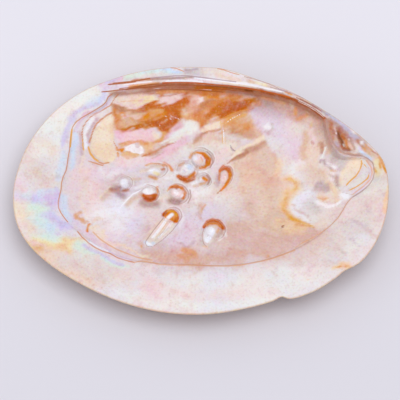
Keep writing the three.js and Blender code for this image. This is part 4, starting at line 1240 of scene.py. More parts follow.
UMBO_LAYER = Layer(0.6, 0.8, (
    Patch(Tint.SAND, (327, 120, 336, 124, 346, 132, 356, 139, 366, 147, 374, 156, 364, 154, 350, 154,
        340, 150, 333, 142), 0.8, 0.85),
    Patch(Tint.DUSK, (327, 119, 334, 120, 342, 126, 349, 134, 354, 144, 353, 151, 343, 149, 334, 142,
        329, 132), 0.8, 0.85),
    Dab(Tint.COCOA, (329, 122, 330, 132, 334, 141), 1.4, 0.7, 0.9),
    Dab(Tint.SLATE, (336, 143, 338, 149), 1.2),
    Dab(Tint.PEARL, (333, 127, 336, 130), 0.9),
    Dab(Tint.PEARL, (335, 137, 337, 141), 0.7, 0.7),
    Dab(Tint.BROWN, (331, 124, 330.5, 130), 0.9, 0.5, 0.9),
    Dab(Tint.BARK, (333, 132, 334, 135), 0.6, 0.7),
    Dab(Tint.BARK, (339.5, 132, 341, 137, 341.5, 143), 1.1, 0.95, 0.7),
    Dab(Tint.BROWN, (337, 128.5, 342, 131), 0.9),
    Dab(Tint.GOLD, (343.5, 133.5, 346, 140, 347.5, 147), (0.6, 0.9, 0.7), 0.6, 0.9),
    Dab(Tint.BROWN, (344, 134, 345, 138), 0.6, 0.5),
    Dab(Tint.BROWN, (341, 147, 349, 150, 354, 149), 1.2),
    Dab(Tint.BARK, (344, 149.5, 350, 151), 0.6, 0.6),
    Dab(Tint.BLUSH, (349.5, 143, 353, 149), 0.8),
    Dab(Tint.COCOA, (331, 128, 334, 136, 338, 142), 1.6, 0.45, 0.9),
    Dab(Tint.DUSK, (336, 126, 342, 130, 350, 137), 1.2, 0.5, 0.9),
    Dab(Tint.IVORY, (337, 134), 0.4),
    Dab(Tint.IVORY, (343, 144.5), 0.4),
    Dab(Tint.IVORY, (349, 139), 0.4, 0.7),
    Dab(Tint.DUSK, (355, 138, 362, 142, 368, 148), 1.7, 0.75),
    Dab(Tint.SLATE, (350, 135, 356, 139), 0.8),
    Dab(Tint.COCOA, (357, 141, 364, 146), 0.6, 0.7),
    Dab(Tint.WHITE, (362, 142.5), 0.7, 0.9, 0.7),
    Dab(Tint.LILAC, (361, 148, 363, 150), 0.9),
    Dab(Tint.CARAMEL, (365, 148, 369, 152), 0.8),
    Dab(Tint.CARAMEL, (366, 144, 371, 149), 0.5),
    Dab(Tint.TAN, (370, 151, 376, 157, 380, 163), 1.6),
    Dab(Tint.BROWN, (372, 150, 377, 155), 0.4, 0.6),
    Dab(Tint.SKY, (362, 151.5, 367, 155, 370, 159), 0.7, 0.9),
    Dab(Tint.LEMON, (376, 162, 380, 168, 378, 174), 2, 0.8, 0.9),
    Dab(Tint.HONEY, (375.5, 169, 377, 173), 0.7),
    Dab(Tint.GOLD, (380.5, 163.5, 382, 168), 0.6, 0.7),
    Dab(Tint.CARAMEL, (378, 157, 382, 161, 385, 166, 387, 171), 0.7, 0.9),
    Dab(Tint.GOLD, (385, 167, 386.5, 171), 0.5),
    # Painted shadow along the step down from the pitted ground beside the beak.
    Dab(Tint.COCOA, (336, 148, 345, 153.5, 355, 155.6, 361, 154.8), 0.8),
))

# Many white and pale marks on the pearls are painted highlights, and the dusk and plum dabs under them
# painted shadows, as noted at each.
PEARL_LAYER = Layer(0.1, 0.8, (
    Dab(Tint.BARK, (282.2, 227.6, 283.4, 226), 0.34, 1, 0.4),
    # Painted highlights on crests and bumps between the pearls.
    Dab(Tint.WHITE, (166, 178, 174, 176), 0.8, 0.6, 0.9),
    Dab(Tint.WHITE, (196, 172, 206, 171), 0.6, 0.6, 0.9),
    Dab(Tint.WHITE, (190, 188, 196, 192, 196, 200), 1, 0.5, 0.9),
    Dab(Tint.STONE, (184, 200, 190, 204), 1, 0.4, 0.9),
    Dab(Tint.WHITE, (136, 188, 146, 184, 156, 185), 0.8, 0.6, 0.9),
    Dab(Tint.STONE, (130, 184, 138, 182), 0.8, 0.5, 0.9),
    Dab(Tint.WHITE, (129, 178, 133, 184), 0.6, 0.6, 0.9),
    Dab(Tint.WHITE, (226, 236, 224, 228), 0.6, 0.5, 0.9),
    Dab(Tint.WHITE, (180, 210, 184, 218, 180, 226), 0.7, 0.5, 0.9),
    # Painted shade above the rear bead.
    Dab(Tint.MAUVE, (117, 178, 121, 176), 1.2, 0.6, 0.9),
    # The ridge left of the rear bead: a painted highlight on its cream crest, with painted shade in tan and
    # brown under it.
    Dab(Tint.CREAM, (100, 197.5, 110, 187.3, 120, 184), 0.5, 0.6, 0.9),
    Dab(Tint.TAN, (103, 199, 110, 192, 116, 188.5), 1.3, 0.6, 0.9),
    # Painted shadow under the rear bead and its ridge.
    Dab(Tint.COCOA, (110, 189, 120, 187.5), 0.7),
    Dab(Tint.PLUM, (116, 188.5, 122, 194.5), 2, 0.85),
    Dab(Tint.COCOA, (112, 190, 118, 191), 1.1, 0.7, 0.9),
    Dab(Tint.BROWN, (124, 190.5, 128, 190), 0.8, 0.75),
    Dab(Tint.PLUM, (118, 193, 124, 197), 1, 0.5, 0.9),
    # Painted highlight on the rear bead.
    Dab(Tint.WHITE, (124, 182, 125, 185), (1.7, 1.5), 1, 0.5),
    # Painted shadow under the brown bead.
    Dab(Tint.DUSK, (143, 203, 156, 204), 1.9, 0.85),
    Dab(Tint.PLUM, (146, 205, 156, 205.5), 0.9, 0.5, 0.9),
    # The orange-brown under the brown bead: partly its stain, partly painted shade.
    Dab(Tint.FLAME, (143.5, 195.5, 150, 198, 156, 195.5), (1.1, 2, 1.2), 1, 0.5),
    Dab(Tint.EMBER, (145, 198.5, 150, 200, 155, 198.5), 0.9, 0.9),
    Dab(Tint.ORANGE, (157, 187, 158, 192), 0.6, 0.8, 0.7),
    # Painted highlight on the brown bead.
    Patch(Tint.WHITE, (142, 191, 146, 187.8, 152, 187.3, 155.5, 191, 152, 194, 146, 194.6), 0.35),
    # A painted highlight on the crest of the brown bead's tail, with painted shade in tan under it.
    Dab(Tint.WHITE, (141, 190, 133, 194, 125, 202, 120, 208), 0.35, 0.7, 0.9),
    Dab(Tint.TAN, (140, 194.5, 133, 199, 127, 205), 1.1, 0.7, 0.9),
    Dab(Tint.SAND, (131, 176, 140, 176.5, 148, 178), 1.5),
    # Painted shade under the cream crest left of the rear oval pearl.
    Dab(Tint.TAN, (132, 179, 140, 179), 0.7, 0.7),
    # Painted shadow under the middle pearl.
    Dab(Tint.DUSK, (170, 200, 178, 202), 1.7, 0.9),
    Dab(Tint.PLUM, (172, 201.5, 178, 202.5), 0.9, 0.5, 0.9),
    Dab(Tint.ORANGE, (167.5, 190.5, 170, 187.5, 176, 185.8, 182, 188), (0.4, 0.6, 0.8, 0.6), 0.9),
    Dab(Tint.FLAME, (172, 187.3, 178, 187), 0.6),
    Dab(Tint.BROWN, (176.5, 188.3), 0.6, 0.8, 0.7),
    Dab(Tint.ORANGE, (182, 188.5, 185, 193, 183, 198), 0.8, 0.85, 0.7),
    Dab(Tint.PETAL, (173, 191, 178, 195, 182, 192), 1, 0.7),
    # Painted highlights on the middle pearl.
    Dab(Tint.WHITE, (175.5, 191.5, 177, 193.5), 1, 1, 0.6),
    Dab(Tint.WHITE, (181.5, 196.5, 182.5, 195), 0.5, 1, 0.6),
    Dab(Tint.BUFF, (160, 198, 168, 196), 1.5, 0.7),
    Dab(Tint.SAND, (161, 192, 166, 190), 1, 0.6),
    Dab(Tint.CARAMEL, (146, 165.5, 151, 163.5, 158, 163.5, 164, 166), 0.45),
    Dab(Tint.ORANGE, (164, 163.5, 169, 166, 172, 170), 0.8, 0.75),
    # Painted highlight on the cream crest left of the rear oval pearl.
    Dab(Tint.CREAM, (141, 171.5, 149, 170), 0.8),
    Dab(Tint.BUFF, (150, 166.5, 160, 166.5), 0.9),
    # Painted highlight on the rear oval pearl.
    Dab(Tint.WHITE, (151.5, 171, 157, 172), 1.3, 0.95, 0.7),
    Dab(Tint.LEMON, (155, 173, 158, 174), 0.9, 0.9, 0.7),
    Dab(Tint.CARAMEL, (150, 176.5, 156, 178.5), 0.8, 0.85),
    Dab(Tint.UMBER, (162, 169.5, 164, 169), 0.6, 0.8, 0.7),
    # The orange-brown under the white pearl: partly its stain, partly painted shade.
    Dab(Tint.FLAME, (178.5, 176.5, 186, 180, 193, 177.5), (1.1, 1.6, 1.2), 0.95, 0.6),
    Dab(Tint.BROWN, (180, 179, 187, 181.5, 193, 179.5), 0.7),
    Dab(Tint.ORANGE, (190, 177, 194, 173), 0.9, 0.9, 0.7),
    # Painted highlight on the white pearl, with painted blue reflections beside it.
    Patch(Tint.WHITE, (181, 169, 185, 164.5, 191, 164, 195, 168, 193, 172, 187, 175, 182, 175), 0.4),
    Dab(Tint.SKY, (190, 167), 1.2),
    Dab(Tint.SKY, (184, 171), 0.8, 0.5),
    Dab(Tint.WHITE, (175.5, 172, 182, 174), 0.7, 0.95, 0.6),
    Dab(Tint.CARAMEL, (179, 165.5, 184, 162.5), 0.5, 0.6),
    Dab(Tint.ORANGE, (197, 152.5, 204, 153.8, 209, 159, 208.5, 164), (0.5, 0.8, 1.2, 1), 1, 0.6),
    Dab(Tint.FLAME, (203, 155, 207, 159, 206.5, 163), 0.7, 0.9, 0.7),
    Dab(Tint.ORANGE, (208, 163.5, 205, 166.8, 200, 168), (1, 0.8, 0.5), 0.95, 0.6),
    Dab(Tint.CARAMEL, (190, 157.5, 192, 154, 196, 152.5), 0.7, 0.75),
    # Painted highlight on the crescent pearl.
    Patch(Tint.PETAL, (192.5, 158, 197, 155, 203, 157, 204, 162, 199, 165, 194, 162), 0.4),
    Dab(Tint.BLUSH, (200, 160, 203, 164), 0.8),
    Dab(Tint.WHITE, (195, 158.5), 1.1, 1),
    Dab(Tint.ORANGE, (201, 157.5, 202.5, 160.5), 0.4, 0.6),
    # Painted highlight on the small tan pearl's left side.
    Dab(Tint.WHITE, (192, 184, 199, 180.5), 0.8),
    Dab(Tint.TAN, (194, 186, 200, 184.5), 0.7, 0.7),
    Dab(Tint.ORANGE, (203.5, 178, 206.5, 180), 0.9, 0.95, 0.7),
    # Painted highlight on the small tan pearl.
    Dab(Tint.WHITE, (200.5, 178.5), 0.6, 0.9, 0.7),
    Dab(Tint.COCOA, (207, 175.5, 210, 179, 208, 184), 0.5, 0.8, 0.7),
    Dab(Tint.CARAMEL, (201, 184, 205, 183), 0.6, 0.7),
    Dab(Tint.MAUVE, (217, 185, 218, 176), 1.2),
    Dab(Tint.FLAME, (220, 170.5, 224, 167.5, 228.5, 169.5, 230.5, 175), (0.8, 1.2, 1.2, 0.9), 1, 0.6),
    Dab(Tint.ORANGE, (230.5, 174, 229.5, 179, 225.5, 186, 221, 190.5), (0.9, 0.8, 0.7, 0.5), 1, 0.6),
    Dab(Tint.ORANGE, (219.5, 172, 219, 180), 0.5, 0.7),
    Dab(Tint.BROWN, (221, 190, 217, 193.5), 0.3, 0.7, 0.7),
    # Painted highlight on the right drop.
    Patch(Tint.PETAL, (221, 176, 224, 172, 227.5, 174, 226.5, 180, 222.5, 184, 220.5, 181), 0.4),
    Dab(Tint.SAND, (236, 172, 238, 180, 234, 188), 1.2, 0.6, 0.9),
    Patch(Tint.BUFF, (164, 217, 176, 223, 154, 244, 146, 243, 144, 240), 0.7, 0.85),
    Dab(Tint.SKY, (145.5, 242, 150, 245, 153, 243), 0.9),
    Dab(Tint.WHITE, (147, 243, 151, 244.5), 0.6, 0.9, 0.7),
    Dab(Tint.WHITE, (167, 219, 159, 230, 153, 237), 0.7, 0.95, 0.7),
    Dab(Tint.WHITE, (172, 222, 165, 232, 159, 238), 0.5, 0.85, 0.7),
    Dab(Tint.PETAL, (161, 224, 153, 234), 0.5, 0.6),
    Dab(Tint.STONE, (156, 240, 168, 228), 0.5, 0.6),
    Dab(Tint.PETAL, (171, 220, 168, 225), 0.9),
    Patch(Tint.ORANGE, (162.5, 215, 165, 211, 171, 209.3, 176, 211.5, 179, 217, 177.5, 223, 172, 221,
        166, 218), 0.4),
    Dab(Tint.EMBER, (163.3, 214.8, 166.5, 212), 0.8, 0.85, 0.7),
    Dab(Tint.HONEY, (168, 211.3, 173, 211.5, 176, 215), 0.7, 0.9),
    Dab(Tint.FLAME, (174.5, 221.5, 178, 218), 0.6, 0.8, 0.7),
    # Painted highlight on the gold drop.
    Dab(Tint.WHITE, (168.5, 217.5, 172, 214.8), 0.9, 1, 0.6),
    Dab(Tint.FLAME, (203.8, 227, 207.5, 222.3, 213, 220.3, 219, 221.8,
        223.5, 228), (0.8, 1.1, 1.3, 1.3, 1.1), 1, 0.5),
    Dab(Tint.ORANGE, (207, 225, 211, 223.5, 216, 223.5, 220, 226), 0.7, 0.9),
    Dab(Tint.BLUSH, (210, 226.5, 216, 226.5), 0.8),
    # Painted highlight on the belly pearl.
    Patch(Tint.WHITE, (205.5, 229, 211, 226.8, 215, 230, 213.5, 236, 208, 243, 204.5, 241,
        204.5, 234), 0.4),
    Dab(Tint.BUFF, (217.5, 230, 214, 238, 210, 243), 0.7),
    Dab(Tint.ORANGE, (218.5, 229, 217, 232), 0.5, 0.6),
    Dab(Tint.BISCUIT, (203, 246, 207, 246.5), 0.5, 0.7),
    Dab(Tint.WHITE, (222, 236, 219, 240), 0.6, 0.7, 0.9),
    Dab(Tint.STONE, (201.5, 230, 200.5, 238, 203, 245), 0.5, 0.6),
))

LAYERS: tuple[Layer, ...] = (
    BORDER_LAYER, PALLIAL_LAYER, FLOOR_LAYER, FRONT_LAYER, SCAR_LAYER, STAIN_LAYER, FOLD_LAYER, HINGE_LAYER,
    UMBO_LAYER, PEARL_LAYER,
)

HAIRLINES: tuple[Hairline, ...] = (
    Hairline("line_rust", Tint.SIENNA, 0.8, (
        Thread(0.3, (112, 94, 108, 97, 106, 102, 103, 105, 96, 109.5, 90, 113, 82, 117.5, 76, 122,
            72.5, 127, 71, 134, 70, 142, 69.5, 150, 68, 158, 67, 166, 66, 171, 63, 177, 61.5, 183, 61, 190,
            59.5, 196, 58.2, 202, 58.5, 208, 61, 213, 64.5, 218, 68, 222.3)),
        Thread(0.35, (77.5, 231.5, 82, 237, 88, 242.5, 95, 247.5, 102, 251, 110, 253.5, 118, 258,
            126, 260.5, 134, 262.3)),
        Thread(0.4, (118.3, 94.3, 115, 97.9, 112.5, 101.7, 111, 105, 106.8, 107.4, 100.4, 111.3, 92.8, 115,
            87, 120.8, 83.2, 126.6, 81.9, 133, 82.6, 140)),
        Thread(0.5, (112, 112.5, 107.4, 115, 101, 119.5, 96, 124.6, 93, 130.4, 91, 137.4, 89.3, 142.5)),
        Thread(0.4, (99, 162.3, 104, 163.5, 109, 162.5)),
        Thread(0.35, (113.5, 141.5, 116.4, 147, 119, 151)),
        Thread(0.4, (88, 161, 96, 163.5, 103, 165.5)),
        Thread(0.25, (170, 67.8, 176, 68.3, 180, 69.8, 184, 71.5)),
        Thread(0.25, (217, 68.6, 223, 69.6, 231, 72.5, 240, 75)),
    )),
    Hairline("line_peach", Tint.CARAMEL, 0.65, (
        Thread(0.4, (134, 262.3, 142, 261, 152, 262.5, 160, 264.3, 172, 265.2, 190, 265, 210, 265.7,
            225, 266, 240, 265.2, 252, 263, 262, 261, 272, 258.5, 283, 254.5, 295, 250)),
        Thread(0.4, (93, 232, 100, 239, 108, 244.5, 117, 249.5, 126, 253, 136, 257, 145, 259, 152, 260)),
        Thread(0.25, (352, 197.5, 347, 203, 343, 210, 338, 218, 330, 226, 322, 232, 312, 238, 302, 243,
            295, 248)),
        Thread(0.4, (366, 160, 371, 167, 372.3, 173, 370, 180, 364, 186, 357, 191, 352, 195)),
    )),
    Hairline("line_gold", Tint.HONEY, 0.95, (
        Thread(0.4, (72, 129, 71, 138, 70.3, 147)),
        Thread(0.4, (82.6, 140, 83, 146, 83.8, 150)),
        Thread(0.55, (88.3, 147, 90.2, 153.3, 94, 158.4, 98, 161)),
        Thread(0.4, (359.5, 156.5, 361.5, 160, 361.5, 165, 360, 170, 356, 176, 350, 181, 346, 185.5)),
        Thread(0.35, (364, 164, 368, 168.5, 369.5, 173, 368, 178, 362, 183, 356, 187, 349, 190.5)),
    )),
    Hairline("line_faint", Tint.HONEY, 0.5, (
        Thread(0.35, (220.5, 121, 222, 133, 223, 143.5)),
        Thread(0.25, (225, 137, 225, 144)),
        Thread(0.3, (216, 121.5, 228, 115.5, 240, 111, 248, 109.5)),
        Thread(0.3, (222, 124, 235, 118, 248, 113)),
        Thread(0.25, (120, 101.5, 134, 100.8, 147, 100.8, 154, 101)),
        Thread(0.2, (168, 221, 161, 231, 155, 238)),
    )),
    Hairline("line_white", Tint.WHITE, 0.9, (
        # The first four threads, along the hinge teeth and the lip, are painted highlights on their crests.
        Thread(0.3, (200, 78.3, 210, 79.6, 226, 81.4, 241, 83.8, 256, 86.3, 270, 89.3, 282, 92)),
        Thread(0.3, (165, 81.3, 176, 81, 190, 81, 203, 82)),
        Thread(0.25, (124, 84.6, 133, 83.6, 143, 82.4, 152, 81.4)),
        Thread(0.4, (299, 101, 308, 105.5, 317, 111, 324, 116.5)),
        Thread(0.4, (90, 242, 98, 247, 108, 251.5)),
        Thread(0.15, (170.5, 116, 175, 117.5, 180, 119.5, 183, 118)),
        Thread(0.2, (160, 124, 159.5, 126)),
        Thread(0.25, (223.6, 130, 224, 143)),
        Thread(0.25, (226, 123, 232, 118.5, 240, 114.5)),
        # A painted highlight along the crest of the brown bead's tail.
        Thread(0.25, (141, 190, 133, 194, 125, 202, 120, 208)),
        Thread(0.25, (166, 219, 158, 230, 152, 238)),
        Thread(0.2, (171, 222, 164, 232, 158, 238)),
        Thread(0.2, (213, 229, 210, 236, 207, 243)),
        Thread(0.2, (134, 91, 150, 88.6, 170, 88, 192, 88.5, 212, 90)),
    )),
    Hairline("line_dark", Tint.PLUM, 0.8, (
        Thread(0.35, (150, 78.4, 160, 77.2, 175, 75.8, 185, 75.5, 200, 77.2, 215, 79.2, 226, 80.6,
            236, 81.8)),
        Thread(0.35, (230.5, 147, 234.5, 151)),
        Thread(0.3, (300, 99, 308, 103, 316, 107.5)),
        Thread(0.2, (270, 87, 280, 89.7, 290, 92.6, 300, 96.6, 310, 101.3)),
    )),
    Hairline("line_brown", Tint.BROWN, 0.9, (
        Thread(0.4, (113, 83.5, 122, 82.5, 132, 81.6, 142, 79.8, 150, 78.4)),
        Thread(0.35, (102, 91.8, 108, 91.4, 116, 90.4, 125, 89.3, 134, 88.3, 143, 87.5, 152, 87)),
        Thread(0.25, (108, 84.6, 118, 83.9, 128, 82.9, 136, 81.9)),
        Thread(0.25, (120, 88.6, 130, 87.2, 140, 85.8, 150, 84.6, 160, 84)),
        Thread(0.3, (150, 86.8, 166, 85.3, 182, 85, 198, 85.6, 214, 86.8)),
        Thread(0.25, (160, 89.6, 176, 89.3, 192, 89.8, 208, 91, 224, 92.2)),
        Thread(0.25, (214, 89, 228, 89.8, 242, 91.2, 256, 93)),
        Thread(0.25, (290, 97.4, 298, 100.6, 306, 104.4, 314, 108.9, 321, 114, 327, 119.5)),
        Thread(0.2, (296, 97.3, 306, 102, 315, 107, 322, 111.6)),
        Thread(0.35, (281.8, 227.3, 282.8, 225.7)),
    )),
    Hairline("line_mauve", Tint.DUSK, 0.75, (
        # Painted shadow along the step at the hollow's edge above and round the front scar.
        Thread(0.35, (360, 154.8, 368, 158.5, 373, 163, 374.3, 172, 373, 179, 369, 185, 361, 192,
            352, 197.5)),
        Thread(0.35, (336, 182, 337, 187, 341, 191.5, 347, 193.5, 352, 195)),
        # Painted shadow along the step down from the pitted ground beside the beak.
        Thread(0.4, (326, 119, 328, 130, 332, 141, 338, 149, 346, 154, 356, 155.6, 362, 154.6)),
        Thread(0.35, (207, 151.5, 211.5, 156, 213, 162, 210, 168)),
        Thread(0.35, (190, 190, 190.8, 197, 188, 203)),
        Thread(0.25, (163, 218.5, 155, 228.5, 148, 238, 145, 242.5, 147, 246.5, 152, 246.3)),
        Thread(0.25, (178.5, 222.5, 172, 231, 163, 239.5, 154, 246)),
        Thread(0.25, (203.5, 229, 202, 236, 203.5, 243.5, 206.5, 246.5)),
        Thread(0.25, (244, 76.5, 250, 78, 260, 80.8, 269, 84, 279, 88.5)),
    )),
    Hairline("line_ember", Tint.FLAME, 0.95, (
        Thread(0.38, (162, 82.9, 180, 82.6, 196, 82.9, 206, 83.8, 216, 84.8, 230, 86, 245, 87.8, 260, 90.4,
            275, 93.6, 285, 95.8, 290, 97.4)),
    )),
)


class Wire:
    """A socket's value in a shader, on which sums and products add their Math nodes."""

    def __init__(self, graph: "Graph", socket: bpy.types.NodeSocket) -> None:
        """Wraps an output socket."""
        self.graph = graph
        self.socket = socket

    def _math(self, operation: str, first: "Wire | float", second: "Wire | float") -> "Wire":
        """Adds one Math node."""
        return self.graph.add("ShaderNodeMath", {"operation": operation}, {0: first, 1: second})

    def __add__(self, other: "Wire | float") -> "Wire":
        """Adds."""
        return self._math("ADD", self, other)

    __radd__ = __add__

    def __sub__(self, other: "Wire | float") -> "Wire":
        """Subtracts."""
        return self._math("SUBTRACT", self, other)

    def __rsub__(self, other: float) -> "Wire":
        """Subtracts from a number."""
        return self._math("SUBTRACT", other, self)

    def __mul__(self, other: "Wire | float") -> "Wire":
        """Multiplies."""
        return self._math("MULTIPLY", self, other)

    __rmul__ = __mul__

    def clamped(self) -> "Wire":
        """Holds the value between 0 and 1."""
        return self.graph.add("ShaderNodeClamp", {}, {"Value": self})

    def eased(self, low: float, high: float) -> "Wire":
        """Eases from 0 where the value is low to 1 where it is high."""
        inputs = {"Value": self, "From Min": low, "From Max": high}
        return self.graph.add("ShaderNodeMapRange", {"interpolation_type": "SMOOTHSTEP"}, inputs)


class Graph:
    """The nodes of one material."""

    def __init__(self, name: str) -> None:
        """Makes a material of that name, with no nodes yet."""
        self.material = bpy.data.materials.new(name)
        self.material.use_nodes = True
        self.tree = self.material.node_tree
        self.tree.nodes.clear()

    def add(self, kind: str, settings: dict, inputs: dict, output: int | str = 0) -> Wire:
        """Adds a node.

        Args:
            kind: the node's type.
            settings: its properties, set first; "stops" fills a colour ramp.
            inputs: what goes to its sockets, by name or number, as a Wire or as a value.
            output: which output the result is taken from.

        Returns:
            The output, as a Wire.
        """
        node = self.tree.nodes.new(kind)
        for name, value in settings.items():
            if name == "stops":
                self._fill_ramp(node.color_ramp, value)
            else:
                setattr(node, name, value)
        for name, value in inputs.items():
            if isinstance(value, Wire):
                self.tree.links.new(value.socket, node.inputs[name])
            else:
                node.inputs[name].default_value = value
        return Wire(self, node.outputs[output])

    @staticmethod
    def _fill_ramp(ramp: bpy.types.ColorRamp, stops: tuple) -> None:
        """Sets a ramp's stops from pairs of position and screen colour."""
        while len(ramp.elements) > 1:
            ramp.elements.remove(ramp.elements[-1])
        for index, (position, colour) in enumerate(stops):
            element = ramp.elements[0] if index == 0 else ramp.elements.new(position)
            element.position = position
            element.color = linear(*colour)

    def attribute(self, name: str) -> Wire:
        """Reads one of the mesh's own number attributes."""
        return self.add("ShaderNodeAttribute", {"attribute_name": name}, {}, "Fac")

    def mix(self, share: Wire | float, first: Wire | tuple, second: Wire | tuple, blend: str = "MIX") -> Wire:
        """Mixes two colours.

        Args:
            share: 0 gives the first colour and 1 the second.
            first: a colour or a Wire that carries one.
            second: a colour or a Wire that carries one.
            blend: how the second is laid over the first.

        Returns:
            The mixed colour.
        """
        settings = {"data_type": "RGBA", "blend_type": blend}
        return self.add("ShaderNodeMix", settings, {0: share, 6: first, 7: second}, 2)

    def noise(self, place: Wire, size: float, detail: float, roughness: float, output: int | str = 0) -> Wire:
        """Adds a cloudy pattern whose clouds are about size millimetres across."""
        inputs = {"Vector": place, "Scale": 1.0 / (size * MM), "Detail": detail, "Roughness": roughness}
        return self.add("ShaderNodeTexNoise", {"noise_dimensions": "3D"}, inputs, output)

    def finish(self, surface: Wire) -> bpy.types.Material:
        """Joins the surface to the material's output and gives the material."""
        node = self.tree.nodes.new("ShaderNodeOutputMaterial")
        self.tree.links.new(surface.socket, node.inputs["Surface"])
        return self.material


